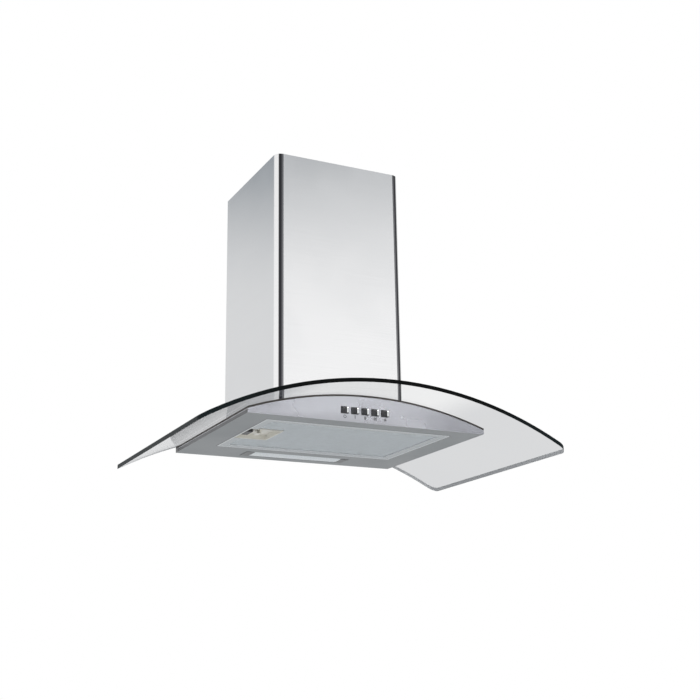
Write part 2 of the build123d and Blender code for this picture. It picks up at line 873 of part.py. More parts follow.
with BuildPart() as motor_rotor:
    extrude(
        ring_section(
            rotor_start,
            round_sides,
            rotor_radius * math.cos(math.pi / round_sides),
            shaft_radius + press_gap,
        ),
        amount=rotor_length,
    )
write_part(motor_rotor, "motor_rotor")

with BuildPart() as impeller_nut:
    with BuildSketch(Plane.YZ.offset(hub_half_length)):
        with Locations((-fan_axis_back, fan_axis_z)):
            RegularPolygon(nut_across / 2, nut_sides, major_radius=False)
            RegularPolygon(shaft_radius + press_gap, small_sides, major_radius=False, mode=Mode.SUBTRACT)
    extrude(amount=nut_length)
write_part(impeller_nut, "impeller_nut")

# Motor: stator, can, end cap and two bearings
motor_inner_radius = motor_radius - motor_wall

with BuildPart() as motor_stator:
    extrude(
        ring_section(rotor_start, round_sides, motor_inner_radius - seat_gap, rotor_radius + air_gap),
        amount=rotor_length,
    )
write_part(motor_stator, "motor_stator")

near_wall = -motor_near - motor_wall
bearing_seat = bearing_radius + seat_gap
flange_x = -(scroll_half_width + scroll_wall + grommet_length)

with BuildPart() as motor_housing:
    extrude(ring_section(can_open_end, round_sides, motor_radius), amount=-motor_near - can_open_end)
    chamfer(motor_housing.faces().sort_by(Axis.X)[-1].edges(), motor_edge)
    extrude(ring_section(flange_x, round_sides, motor_flange_radius), amount=motor_flange)
    extrude(
        ring_section(can_open_end, round_sides, motor_inner_radius),
        amount=near_wall - can_open_end,
        mode=Mode.SUBTRACT,
    )
    extrude(
        ring_section(near_wall - bearing_width, round_sides, bearing_seat + motor_wall, bearing_seat),
        amount=bearing_width,
    )
    extrude(
        ring_section(near_wall, round_sides, shaft_radius + shaft_hole_gap),
        amount=motor_wall,
        mode=Mode.SUBTRACT,
    )
write_part(motor_housing, "motor_housing")

with BuildPart() as motor_cap:
    extrude(ring_section(-motor_far, round_sides, motor_radius), amount=motor_cap_thickness)
    chamfer(motor_cap.faces().sort_by(Axis.X)[0].edges(), motor_edge)
    extrude(
        ring_section(can_open_end, round_sides, bearing_seat + motor_wall, bearing_seat),
        amount=bearing_width,
    )
    extrude(
        ring_section(can_open_end, round_sides, shaft_radius + shaft_hole_gap),
        amount=-motor_cap_recess,
        mode=Mode.SUBTRACT,
    )
write_part(motor_cap, "motor_cap")

with BuildPart() as motor_bearings:
    for start in (near_wall - bearing_width, can_open_end):
        extrude(
            ring_section(start, round_sides, bearing_radius, shaft_radius + shaft_clearance),
            amount=bearing_width,
        )
write_part(motor_bearings, "motor_bearings")

# Three-armed bracket with rubber grommets that hangs the motor in the left inlet
arm_middle = (bracket_hole_circle + motor_radius) / 2

with BuildPart() as motor_bracket:
    with BuildSketch(Plane.YZ.offset(flange_x - bracket_sheet)):
        with Locations((-fan_axis_back, fan_axis_z)):
            RegularPolygon(motor_flange_radius + bracket_rim, round_sides, major_radius=False)
            with PolarLocations(arm_middle, bracket_arms, bracket_start_degrees):
                Rectangle(bracket_hole_circle - motor_radius, bracket_arm_width)
            with PolarLocations(bracket_hole_circle, bracket_arms, bracket_start_degrees):
                RegularPolygon(bracket_arm_width / 2, small_sides)
            with PolarLocations(bracket_hole_circle, bracket_arms, bracket_start_degrees):
                RegularPolygon(motor_screw_radius + screw_clearance, small_sides, mode=Mode.SUBTRACT)
            RegularPolygon(
                motor_radius + bracket_gap, round_sides, major_radius=False, mode=Mode.SUBTRACT
            )
    extrude(amount=bracket_sheet)
write_part(motor_bracket, "motor_bracket")

with BuildPart() as motor_grommets:
    with BuildSketch(Plane.YZ.offset(flange_x)):
        with Locations((-fan_axis_back, fan_axis_z)):
            with PolarLocations(bracket_hole_circle, bracket_arms, bracket_start_degrees):
                RegularPolygon(grommet_radius, small_sides)
                RegularPolygon(motor_screw_radius + screw_clearance, small_sides, mode=Mode.SUBTRACT)
    extrude(amount=grommet_length)
write_part(motor_grommets, "motor_grommets")

with BuildPart() as motor_screws:
    with BuildSketch(Plane.YZ.offset(flange_x - bracket_sheet)):
        with Locations((-fan_axis_back, fan_axis_z)):
            with PolarLocations(bracket_hole_circle, bracket_arms, bracket_start_degrees):
                RegularPolygon(motor_screw_radius, small_sides)
    extrude(amount=bracket_sheet + grommet_length + scroll_wall / 2)
    with BuildSketch(Plane.YZ.offset(flange_x - bracket_sheet)):
        with Locations((-fan_axis_back, fan_axis_z)):
            with PolarLocations(bracket_hole_circle, bracket_arms, bracket_start_degrees):
                RegularPolygon(2 * motor_screw_radius, small_sides)
    extrude(amount=-motor_screw_head)
write_part(motor_screws, "motor_screws")

# Capacitor, terminal box and cable gland on top of the blower box
capacitor_place = (capacitor_side, -electric_back)
terminal_place = (terminal_side, -electric_back)
gland_place = (gland_side, -electric_back)

with BuildPart() as motor_capacitor:
    with BuildSketch(Plane.XY.offset(above(box_top))):
        with Locations(capacitor_place):
            RegularPolygon(capacitor_radius, round_sides)
    extrude(amount=capacitor_height)
    chamfer(motor_capacitor.faces().sort_by(Axis.Z)[-1].edges(), capacitor_edge)
write_part(motor_capacitor, "motor_capacitor")

with BuildPart() as terminal_box:
    with BuildSketch(Plane.XY.offset(above(box_top))):
        with Locations(terminal_place):
            Rectangle(terminal_width, terminal_depth)
    extrude(amount=terminal_height)
    chamfer(terminal_box.edges().filter_by(Axis.Z), terminal_corner)
    chamfer(terminal_box.faces().sort_by(Axis.Z)[-1].edges(), terminal_edge)
    with BuildSketch(Plane.XY.offset(above(box_top))):
        with Locations(terminal_place):
            Rectangle(terminal_width - 2 * terminal_side_wall, terminal_depth - 2 * terminal_side_wall)
    extrude(amount=terminal_height - terminal_wall, mode=Mode.SUBTRACT)
    with BuildSketch(Plane.XY.offset(above(box_top + terminal_height))):
        with Locations(gland_place):
            RegularPolygon(gland_thread + seat_gap, round_sides)
    extrude(amount=-terminal_wall, mode=Mode.SUBTRACT)
write_part(terminal_box, "terminal_box")

gland_base = above(box_top + terminal_height)
gland_low = gland_base - terminal_wall - gland_thread_length

with BuildPart() as cable_gland:
    with BuildSketch(Plane.XY.offset(gland_base)):
        with Locations(gland_place):
            RegularPolygon(gland_across / 2, nut_sides, major_radius=False)
    extrude(amount=gland_nut_height)
    with BuildSketch(Plane.XY.offset(gland_low)):
        with Locations(gland_place):
            RegularPolygon(gland_thread, round_sides)
    extrude(amount=gland_base - gland_low)
    with BuildSketch(Plane.XY.offset(gland_base + gland_nut_height)):
        with Locations(gland_place):
            RegularPolygon(gland_across / 2 - gland_cap_inset, round_sides)
    extrude(amount=gland_cap_height, taper=gland_cap_taper)
    with BuildSketch(Plane.XY.offset(gland_low)):
        with Locations(gland_place):
            Circle(gland_bore)
    extrude(amount=gland_base - gland_low + gland_nut_height + gland_cap_height, mode=Mode.SUBTRACT)
write_part(cable_gland, "cable_gland")

# Outlet collar: a flange, a shallow box over the blower's outlet and a round spigot with its flap stops
spigot_y = -spigot_back
spigot_place = (0, spigot_y)
stop_top = flap_height - flap_thickness / 2 - flap_rest_gap
stop_root = spigot_wall / 2
stop_middle = spigot_inner - (flap_stop - stop_root) / 2
collar_screw_spacing = (
    collar_flange_width - collar_screw_inset,
    collar_flange_depth - 2 * collar_screw_inset,
)

with BuildPart() as outlet_collar:
    with BuildSketch(Plane.XY.offset(above(box_top))):
        with Locations(spigot_place):
            Rectangle(collar_flange_width, collar_flange_depth)
    extrude(amount=collar_flange)
    with BuildSketch(Plane.XY.offset(above(box_top))):
        with Locations(spigot_place):
            Rectangle(2 * collar_box_half, 2 * collar_box_half)
    extrude(amount=spigot_bottom - box_top)
    with BuildSketch(Plane.XY.offset(above(box_top))):
        with Locations(spigot_place):
            Rectangle(2 * (collar_box_half - spigot_wall), 2 * (collar_box_half - spigot_wall))
    extrude(amount=spigot_bottom - box_top - spigot_wall, mode=Mode.SUBTRACT)
    with BuildSketch(Plane.XY.offset(above(spigot_bottom))):
        with Locations(spigot_place):
            Circle(spigot_radius)
    extrude(amount=spigot_top - spigot_bottom)
    with BuildSketch(Plane.XY.offset(above(spigot_bottom - spigot_wall))):
        with Locations(spigot_place):
            RegularPolygon(spigot_inner, wheel_sides, major_radius=False)
    extrude(amount=spigot_top - spigot_bottom + spigot_wall, mode=Mode.SUBTRACT)
    with BuildSketch(Plane.XY.offset(above(stop_top))):
        with Locations(spigot_place):
            with PolarLocations(stop_middle, flap_stops, flap_stop_start_degrees):
                Rectangle(flap_stop + stop_root, flap_stop_width)
            Rectangle(flap_bar, 2 * (spigot_inner + stop_root))
    extrude(amount=-flap_stop_height)
    with BuildSketch(Plane.XZ.offset(spigot_back - spigot_radius)):
        with Locations((0, above(flap_height))):
            with GridLocations(2 * flap_pin_offset, 0, 2, 1):
                RegularPolygon(flap_pin_radius + flap_pin_gap, small_sides, major_radius=False)
    extrude(amount=2 * spigot_radius, mode=Mode.SUBTRACT)
    with BuildSketch(Plane.XY.offset(above(box_top))):
        with Locations(spigot_place):
            with GridLocations(*collar_screw_spacing, 2, 2):
                RegularPolygon(collar_screw_radius + screw_clearance, small_sides)
    extrude(amount=collar_flange, mode=Mode.SUBTRACT)
write_part(outlet_collar, "outlet_collar")

with BuildPart() as collar_screws:
    with BuildSketch(Plane.XY.offset(above(box_top + collar_flange))):
        with Locations(spigot_place):
            with GridLocations(*collar_screw_spacing, 2, 2):
                RegularPolygon(2 * collar_screw_radius, small_sides)
    extrude(amount=collar_screw_head)
    with BuildSketch(Plane.XY.offset(above(box_top))):
        with Locations(spigot_place):
            with GridLocations(*collar_screw_spacing, 2, 2):
                RegularPolygon(collar_screw_radius, small_sides)
    extrude(amount=collar_flange)
write_part(collar_screws, "collar_screws")

with BuildPart() as flap_pins:
    with BuildSketch(Plane.XZ.offset(spigot_back - spigot_radius + flap_pin_end_gap)):
        with Locations((0, above(flap_height))):
            with GridLocations(2 * flap_pin_offset, 0, 2, 1):
                Circle(flap_pin_radius)
    extrude(amount=2 * (spigot_radius - flap_pin_end_gap))
write_part(flap_pins, "flap_pins")

with BuildPart() as flap_right:
    with BuildSketch(Plane.XY.offset(above(flap_height) - flap_thickness / 2)):
        with Locations(spigot_place):
            RegularPolygon(spigot_inner - flap_gap, wheel_sides)
            with Locations((-spigot_radius + flap_pin_offset + flap_edge, 0)):
                Rectangle(2 * spigot_radius, 2 * spigot_radius, mode=Mode.SUBTRACT)
    extrude(amount=flap_thickness)
    for side in (-1, 1):
        knuckle_start = spigot_back + (side * flap_knuckle_spacing - flap_knuckle_length) / 2
        with BuildSketch(Plane.XZ.offset(knuckle_start)):
            with Locations((flap_pin_offset, above(flap_height))):
                RegularPolygon(flap_knuckle_radius, small_sides)
        extrude(amount=flap_knuckle_length)
    with BuildSketch(Plane.XZ.offset(spigot_back)):
        with Locations((flap_pin_offset, above(flap_height))):
            RegularPolygon(flap_pin_radius + flap_pin_gap, small_sides, major_radius=False)
    extrude(amount=spigot_radius, both=True, mode=Mode.SUBTRACT)
write_part(flap_right, "flap_right")

with BuildPart() as flap_left:
    add(mirror(flap_right.part, about=Plane.YZ, mode=Mode.PRIVATE))
write_part(flap_left, "flap_left")

# Chimney cover: folded sheet, cut along the arch of the glass it stands on
chimney_half = chimney_width / 2

with BuildPart() as chimney_cover:
    extrude(
        cover_section(
            chimney_half,
            chimney_front,
            chimney_back,
            chimney_corner_radius,
            sheet,
            chimney_lip,
            above(chimney_bottom),
        ),
        amount=chimney_top - chimney_bottom,
    )
    extrude(
        arch_panel(
            glass_outer_radius + chimney_glass_gap, chimney_half + cut_margin, above(0), 0
        ),
        amount=chimney_front + cut_margin,
        mode=Mode.SUBTRACT,
    )
write_part(chimney_cover, "chimney_cover")

# Chimney extension: a narrower cover that slides up out of the first, with slots near its top
extension_half = chimney_half - sheet - extension_gap
extension_front = chimney_front - sheet - extension_gap
extension_back = chimney_back + sheet + extension_gap
extension_radius = chimney_corner_radius - sheet - extension_gap
extension_top = chimney_top - extension_top_drop
bracket_middle = bracket_low + bracket_height / 2

with BuildPart() as chimney_extension:
    extrude(
        cover_section(
            extension_half,
            extension_front,
            extension_back,
            extension_radius,
            extension_sheet,
            extension_lip,
            above(extension_bottom),
        ),
        amount=extension_top - extension_bottom,
    )
    slot_middle = above(extension_top - vent_slot_drop - vent_slot_pitch * (vent_slots - 1) / 2)
    with BuildSketch(Plane.YZ):
        with Locations((-(extension_front + extension_back) / 2 - vent_slot_front, slot_middle)):
            with GridLocations(0, vent_slot_pitch, 1, vent_slots):
                Rectangle(vent_slot_length, vent_slot_height)
        with Locations((-bracket_screw_back, above(bracket_middle))):
            RegularPolygon(bracket_screw_radius + screw_clearance, small_sides)
    extrude(amount=chimney_half, both=True, mode=Mode.SUBTRACT)
write_part(chimney_extension, "chimney_extension")

# Bracket that the installer screws to the wall at the height of the extension's top
bracket_arm_x = extension_half - chimney_lip - bracket_arm_gap
bracket_tab_x = extension_half - extension_sheet - bracket_tab_gap

with BuildPart() as extension_bracket:
    with BuildSketch(Plane.XY.offset(above(bracket_low))):
        with BuildLine():
            Polyline(
                (0, 0),
                (bracket_arm_x, 0),
                (bracket_arm_x, -bracket_knee),
                (bracket_tab_x, -bracket_knee),
                (bracket_tab_x, -bracket_reach),
                (bracket_tab_x - rail_sheet, -bracket_reach),
                (bracket_tab_x - rail_sheet, -bracket_knee - rail_sheet),
                (bracket_arm_x - rail_sheet, -bracket_knee - rail_sheet),
                (bracket_arm_x - rail_sheet, -rail_sheet),
                (0, -rail_sheet),
                close=True,
            )
        make_face()
        mirror(about=Plane.YZ)
    extrude(amount=bracket_height)
    with BuildSketch(Plane.XZ):
        with Locations((0, above(bracket_middle))):
            with GridLocations(bracket_hole_spacing, 0, 2, 1):
                Circle(lower_hole_radius)
    extrude(amount=rail_sheet, mode=Mode.SUBTRACT)
    with BuildSketch(Plane.YZ):
        with Locations((-bracket_screw_back, above(bracket_middle))):
            RegularPolygon(bracket_screw_radius + screw_clearance, small_sides)
    extrude(amount=chimney_half, both=True, mode=Mode.SUBTRACT)
write_part(extension_bracket, "extension_bracket")

# Lamp: housing on the tray's rear rim, board with its lights, lens, and a dark clip at each end
housing_half = lamp_opening_width / 2 + sheet
lens_depth = lamp_opening_depth - 2 * lamp_clearance

with BuildPart() as lamp_housing:
    with BuildSketch(Plane.XY.offset(above(sheet))):
        with Locations((0, lamp_middle_y)):
            Rectangle(2 * housing_half + 2 * lamp_flange, lamp_opening_depth + 2 * sheet)
    extrude(amount=sheet)
    with BuildSketch(Plane.XY.offset(above(sheet))):
        with Locations((0, lamp_middle_y)):
            Rectangle(2 * housing_half, lamp_opening_depth + 2 * sheet)
    extrude(amount=lamp_housing_height)
    with BuildSketch(Plane.XY.offset(above(sheet))):
        with Locations((0, lamp_middle_y)):
            Rectangle(lamp_opening_width, lamp_opening_depth)
    extrude(amount=lamp_housing_height - sheet, mode=Mode.SUBTRACT)
write_part(lamp_housing, "lamp_housing")

board_top = above(lamp_housing_height)
with BuildPart() as lamp_board:
    with BuildSketch(Plane.XY.offset(board_top)):
        with Locations((0, lamp_middle_y)):
            Rectangle(lens_width - lamp_board_depth, lamp_board_depth)
    extrude(amount=-board_thickness)
    with BuildSketch(Plane.XY.offset(board_top - board_thickness)):
        with Locations((0, lamp_middle_y)):
            with GridLocations((lens_width - lamp_board_depth) / led_count, 0, led_count, 1):
                Rectangle(led_size, led_size)
    extrude(amount=-led_height)
write_part(lamp_board, "lamp_board")

half_lens = lens_depth / 2
lens_top = above(lens_rise + lens_thickness)

with BuildPart() as lamp_lens:
    with BuildSketch(Plane.YZ.offset(-lens_width / 2)):
        with BuildLine():
            belly = ThreePointArc(
                (lamp_middle_y - half_lens, above(lens_edge)),
                (lamp_middle_y, above(-lens_drop)),
                (lamp_middle_y + half_lens, above(lens_edge)),
            )
            hollow = ThreePointArc(
                (lamp_middle_y - half_lens + lens_thickness, above(lens_thickness)),
                (lamp_middle_y, above(lens_thickness - lens_drop)),
                (lamp_middle_y + half_lens - lens_thickness, above(lens_thickness)),
            )
            for end, sign in ((0, -1), (1, 1)):
                Polyline(
                    belly @ end,
                    (lamp_middle_y + sign * half_lens, lens_top),
                    (lamp_middle_y + sign * (half_lens - lens_thickness), lens_top),
                    hollow @ end,
                )
        make_face()
    extrude(amount=lens_width)
write_part(lamp_lens, "lamp_lens")

clip_length = lamp_end - lamp_clearance
with BuildPart() as lamp_clips:
    with BuildSketch(Plane.XY.offset(above(-lens_drop / 2))):
        with Locations((0, lamp_middle_y)):
            with GridLocations(lens_width + clip_length, 0, 2, 1):
                Rectangle(clip_length, lens_depth)
    extrude(amount=clip_height)
write_part(lamp_clips, "lamp_clips")

# Switch carrier: a moulding behind the fascia that guides the button stems and holds the board
guide_front = fascia_back - button_flange_thickness - button_travel - guide_gap
guide_back = guide_front - guide_thickness
plunger_tip = guide_back - plunger_gap
key_front = plunger_tip - plunger_length
board_front = key_front - key_switch_depth
board_back = board_front - board_thickness
stem_end = plunger_tip + button_travel + stem_gap
carrier_middle = (carrier_bottom + carrier_top) / 2
carrier_height = carrier_top - carrier_bottom

with BuildPart() as switch_carrier:
    with BuildSketch(Plane.XZ.offset(fascia_back - carrier_depth)):
        with Locations((button_side, above(carrier_middle))):
            RectangleRounded(carrier_width, carrier_height, carrier_corner)
    extrude(amount=carrier_depth)
    with BuildSketch(Plane.XZ.offset(guide_front)):
        with Locations((button_side, above(carrier_middle))):
            Rectangle(carrier_width - 2 * carrier_wall, carrier_height - 2 * carrier_wall)
    extrude(amount=fascia_back - guide_front, mode=Mode.SUBTRACT)
    with BuildSketch(Plane.XZ.offset(fascia_back - carrier_depth)):
        with Locations((button_side, above(carrier_middle))):
            Rectangle(carrier_width - 2 * carrier_wall, carrier_height - 2 * carrier_wall)
    extrude(amount=guide_back - fascia_back + carrier_depth, mode=Mode.SUBTRACT)
    with BuildSketch(Plane.XZ.offset(guide_back)):
        with Locations((button_side, above(button_middle))):
            with GridLocations(button_pitch, 0, button_count, 1):
                Rectangle(button_stem + 2 * stem_gap, button_stem + 2 * stem_gap)
    extrude(amount=guide_thickness, mode=Mode.SUBTRACT)
write_part(switch_carrier, "switch_carrier")

with BuildPart() as switch_board:
    with BuildSketch(Plane.XZ.offset(board_back)):
        with Locations((button_side, above(carrier_middle))):
            Rectangle(
                carrier_width - 2 * (carrier_wall + board_play),
                carrier_height - 2 * (carrier_wall + board_play),
            )
    extrude(amount=board_thickness)
write_part(switch_board, "switch_board")

with BuildPart() as key_switches:
    with BuildSketch(Plane.XZ.offset(board_front)):
        with Locations((button_side, above(button_middle))):
            with GridLocations(button_pitch, 0, button_count, 1):
                Rectangle(key_switch_size, key_switch_size)
    extrude(amount=key_switch_depth)
    with BuildSketch(Plane.XZ.offset(key_front)):
        with Locations((button_side, above(button_middle))):
            with GridLocations(button_pitch, 0, button_count, 1):
                RegularPolygon(plunger_radius, small_sides)
    extrude(amount=plunger_length)
write_part(key_switches, "key_switches")

# Five push buttons, each with a flange behind the fascia and a stem towards its key switch
button_names = ["button_off", "button_low", "button_medium", "button_high", "button_light"]
button_seat_gap = 0.1
button_chamfer = 0.7
flange_front = fascia_back - button_seat_gap

for index, button_name in enumerate(button_names):
    button_x = button_side + (index - (button_count - 1) / 2) * button_pitch
    with BuildPart() as button:
        with BuildSketch(Plane.XZ.offset(flange_front)):
            with Locations((button_x, above(button_middle))):
                Rectangle(button_width, button_height)
        cap = extrude(amount=canopy_front + button_proud - flange_front)
        chamfer(cap.faces().sort_by(Axis.Y)[0].edges(), button_chamfer)
        with BuildSketch(Plane.XZ.offset(flange_front)):
            with Locations((button_x, above(button_middle))):
                Rectangle(button_width + 2 * button_flange, button_height + 2 * button_flange)
        extrude(amount=-button_flange_thickness)
        with BuildSketch(Plane.XZ.offset(stem_end)):
            with Locations((button_x, above(button_middle))):
                Rectangle(button_stem, button_stem)
        extrude(amount=flange_front - stem_end)
    write_part(button, button_name)

# Grease filter frame: a channel all round, with lugs at the right and gaps for the handle
filter_half = filter_width / 2
handle_x = -filter_half + filter_sheet + latch_clearance + handle_width / 2
handle_place = (handle_x, filter_middle_y)
handle_room = handle_depth + 2 * handle_gap

with BuildPart() as filter_frame:
    with BuildSketch(Plane.XY.offset(above(0))):
        with Locations((0, filter_middle_y)):
            Rectangle(filter_width, filter_depth)
            Rectangle(filter_width - 2 * filter_rim, filter_depth - 2 * filter_rim, mode=Mode.SUBTRACT)
    extrude(amount=filter_height)
    with BuildSketch(Plane.XY.offset(above(filter_sheet))):
        with Locations((0, filter_middle_y)):
            Rectangle(filter_width - 2 * filter_sheet, filter_depth - 2 * filter_sheet)
    extrude(amount=filter_height - 2 * filter_sheet, mode=Mode.SUBTRACT)
    with BuildSketch(Plane.XY.offset(above(0))):
        with Locations((handle_x + filter_sheet, filter_middle_y)):
            Rectangle(handle_width + 2 * filter_sheet, handle_room)
    extrude(amount=filter_height, mode=Mode.SUBTRACT)
    with BuildSketch(Plane.XY.offset(above(0))):
        with Locations((-filter_half + filter_sheet / 2, filter_middle_y)):
            Rectangle(filter_sheet, handle_room + 2 * filter_sheet)
    extrude(amount=filter_height)
    with BuildSketch(Plane.YZ.offset(-filter_half)):
        with Locations((filter_middle_y, above(latch_height + latch_thickness / 2))):
            Rectangle(latch_depth + 2 * latch_clearance, latch_thickness + 2 * latch_clearance)
    extrude(amount=filter_sheet, mode=Mode.SUBTRACT)
    with BuildSketch(Plane.XY.offset(above(lug_height))):
        with Locations((filter_half - filter_sheet + (lug_length + filter_sheet) / 2, filter_middle_y)):
            with GridLocations(0, lug_spacing, 1, 2):
                Rectangle(lug_length + filter_sheet, lug_width)
    extrude(amount=lug_sheet)
write_part(filter_frame, "filter_frame")

mesh_width = filter_width - 2 * (filter_sheet + mesh_play)
mesh_depth = filter_depth - 2 * (filter_sheet + mesh_play)
window_width = filter_width - 2 * filter_rim
window_depth = filter_depth - 2 * filter_rim


def diamond(width, depth):
    """Diamond-shaped hole of an expanded sheet."""
    with BuildSketch() as hole:
        with BuildLine():
            Polyline((width / 2, 0), (0, depth / 2), (-width / 2, 0), (0, -depth / 2), close=True)
        make_face()
    return hole.sketch


def diamond_places(columns, rows):
    """Middles of staggered diamonds in the filter's window, clear of the handle."""
    pitch_x = window_width / columns
    pitch_y = window_depth / rows
    places = []
    for row in range(2 * rows - 1):
        shift = 0.5 * (row % 2)
        for column in range(columns - row % 2):
            x = (column + 0.5 + shift) * pitch_x - window_width / 2
            y = (row + 1) * pitch_y / 2 - window_depth / 2
            beside = x > handle_x + handle_width / 2 + pitch_x / 2
            past = abs(y) > handle_depth / 2 + pitch_y / 2
            if beside or past:
                places.append((x, filter_middle_y + y))
    return places


# Filter meshes: the lower one carries fine diamonds, the upper one coarse ones
mesh_layers = {
    "filter_mesh": (filter_sheet, mesh_columns, mesh_rows),
    "filter_backing": (filter_height - filter_sheet - mesh_sheet, backing_columns, backing_rows),
}

for mesh_name, (mesh_height, columns, rows) in mesh_layers.items():
    hole_width = window_width / columns - mesh_strand
    hole_depth = window_depth / rows - mesh_strand * rows / columns
    with BuildPart() as mesh:
        with BuildSketch(Plane.XY.offset(above(mesh_height))):
            with Locations((0, filter_middle_y)):
                Rectangle(mesh_width, mesh_depth)
            with Locations(handle_place):
                Rectangle(handle_width + 2 * handle_gap, handle_room, mode=Mode.SUBTRACT)
            with Locations((-filter_half, filter_middle_y)):
                Rectangle(handle_width, handle_room, mode=Mode.SUBTRACT)
            with Locations(*diamond_places(columns, rows)):
                add(diamond(hole_width, hole_depth), mode=Mode.SUBTRACT)
        extrude(amount=mesh_sheet)
    write_part(mesh, mesh_name)

# Filter handle: a moulded dish with a pocket for the latch
handle_low = handle_gap
roof = filter_height - handle_gap - handle_wall
knob_left = -filter_half + filter_sheet + latch_clearance + handle_wall + latch_knob_gap
knob_right = knob_left + latch_knob_width
knob_end = knob_right + latch_travel
rib_x = knob_end + handle_rib_gap
bridge_x = knob_end + handle_rib / 2

with BuildPart() as filter_handle:
    with BuildSketch(Plane.XY.offset(above(handle_low))):
        with Locations(handle_place):
            RectangleRounded(handle_width, handle_depth, handle_corner)
    extrude(amount=roof + handle_wall - handle_low)
    with BuildSketch(Plane.XY.offset(above(handle_low))):
        with Locations(handle_place):
            RectangleRounded(
                handle_width - 2 * handle_wall,
                handle_depth - 2 * handle_wall,
                handle_corner - handle_wall,
            )
    extrude(amount=roof - handle_low, mode=Mode.SUBTRACT)
    with BuildSketch(Plane.YZ.offset(handle_x - handle_width / 2)):
        with Locations((filter_middle_y, above(latch_height + latch_thickness / 2))):
            Rectangle(latch_depth + 2 * latch_clearance, latch_thickness + 2 * latch_clearance)
    extrude(amount=handle_wall, mode=Mode.SUBTRACT)
    with BuildSketch(Plane.XY.offset(above(handle_low))):
        with Locations((rib_x + handle_rib / 2, filter_middle_y)):
            Rectangle(handle_rib, handle_rib_depth)
    extrude(amount=roof - handle_low)
    with BuildSketch(Plane.XY.offset(above(handle_low))):
        with Locations(((bridge_x + rib_x) / 2, filter_middle_y)):
            Rectangle(rib_x - bridge_x, handle_rib_depth)
    extrude(amount=handle_bridge)
write_part(filter_handle, "filter_handle")

# Latch: a knob in the handle's pocket with a tongue into the tray's slot
tongue_tip = -(filter_opening_width / 2 + latch_nose)

with BuildPart() as filter_latch:
    with BuildSketch(Plane.XY.offset(above(latch_height))):
        with Locations(((tongue_tip + knob_right) / 2, filter_middle_y)):
            Rectangle(knob_right - tongue_tip, latch_depth)
    extrude(amount=latch_thickness)
    with BuildSketch(Plane.XY.offset(above(latch_height - latch_knob_drop))):
        with Locations(((knob_left + knob_right) / 2, filter_middle_y)):
            Rectangle(latch_knob_width, latch_knob_depth)
    extrude(amount=roof - latch_clearance - latch_height + latch_knob_drop)
    fillet(filter_latch.faces().sort_by(Axis.Z)[0].edges(), latch_knob_edge)
write_part(filter_latch, "filter_latch")

# Latch spring between the knob and the handle's rib
spring_left = knob_right + spring_end_gap
spring_right = rib_x - spring_end_gap
spring_z = above(latch_height + latch_thickness / 2)
spring_pitch = (spring_right - spring_left - spring_wire) / spring_turns

coil_points = []
for step in range(spring_turns * spring_steps + 1):
    angle = 2 * math.pi * step / spring_steps
    coil_points.append((
        spring_left + spring_wire / 2 + spring_pitch * step / spring_steps,
        filter_middle_y + spring_radius * math.cos(angle),
        spring_z + spring_radius * math.sin(angle),
    ))

with BuildPart() as latch_spring:
    with BuildLine() as coil:
        Polyline(*coil_points)
    with BuildSketch(Plane(coil.line @ 0, z_dir=coil.line % 0)):
        Rectangle(spring_wire, spring_wire)
    sweep(path=coil.line, transition=Transition.RIGHT)
write_part(latch_spring, "latch_spring")
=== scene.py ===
import math

import bmesh
import bpy
from mathutils import Matrix, Vector


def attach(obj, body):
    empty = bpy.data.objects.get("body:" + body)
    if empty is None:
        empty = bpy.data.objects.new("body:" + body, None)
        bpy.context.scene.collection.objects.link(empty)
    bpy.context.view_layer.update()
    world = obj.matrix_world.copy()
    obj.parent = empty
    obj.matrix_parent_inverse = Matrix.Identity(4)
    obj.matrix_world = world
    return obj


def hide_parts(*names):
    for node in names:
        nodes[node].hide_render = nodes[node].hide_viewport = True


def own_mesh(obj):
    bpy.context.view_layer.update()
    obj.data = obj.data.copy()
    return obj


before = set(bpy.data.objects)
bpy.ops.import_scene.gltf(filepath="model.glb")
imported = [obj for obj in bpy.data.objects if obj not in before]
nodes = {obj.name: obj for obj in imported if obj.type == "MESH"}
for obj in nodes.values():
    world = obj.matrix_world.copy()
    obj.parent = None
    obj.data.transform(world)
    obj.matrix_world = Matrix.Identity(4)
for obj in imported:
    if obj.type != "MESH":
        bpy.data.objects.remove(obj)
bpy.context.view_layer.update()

# Sizes that the CAD source names, in metres
RAIL_HEIGHT = 0.215
ARCH_MID_RADIUS = 0.61632
GLASS_OUTER_RADIUS = 0.61932
SKIN_OUTER_RADIUS = 0.61032
GLASS_MID_HEIGHT = 0.046
ARCH_CENTRE_Z = GLASS_MID_HEIGHT - ARCH_MID_RADIUS - RAIL_HEIGHT
CANOPY_FRONT = 0.331
FILTER_MIDDLE_Y = -0.1935
FILTER_LIP_HALF = (0.150, 0.0975)


def above(height):
    """Z of a height over the canopy's bottom face."""
    return height - RAIL_HEIGHT


# Node helpers. A value given to one is a number, a colour of three numbers, or another node's output.
def new_material(name):
    material = bpy.data.materials.new(name)
    material.use_nodes = True
    return material, material.node_tree


def link(tree, source, target):
    tree.links.new(source, target)


def feed(tree, value, socket):
    """Give a socket its value, or link it."""
    if isinstance(value, bpy.types.NodeSocket):
        link(tree, value, socket)
    elif isinstance(value, tuple):
        socket.default_value = (*value, 1)
    else:
        socket.default_value = value


def add_node(tree, kind, **properties):
    node = tree.nodes.new(kind)
    for key, value in properties.items():
        setattr(node, key, value)
    return node


def set_inputs(tree, node, values):
    """Give several of a node's inputs their values, by name."""
    for key, value in values.items():
        feed(tree, value, node.inputs[key])


def set_surface(tree, values):
    """Give the Principled shader's inputs their values, by name."""
    set_inputs(tree, tree.nodes["Principled BSDF"], values)


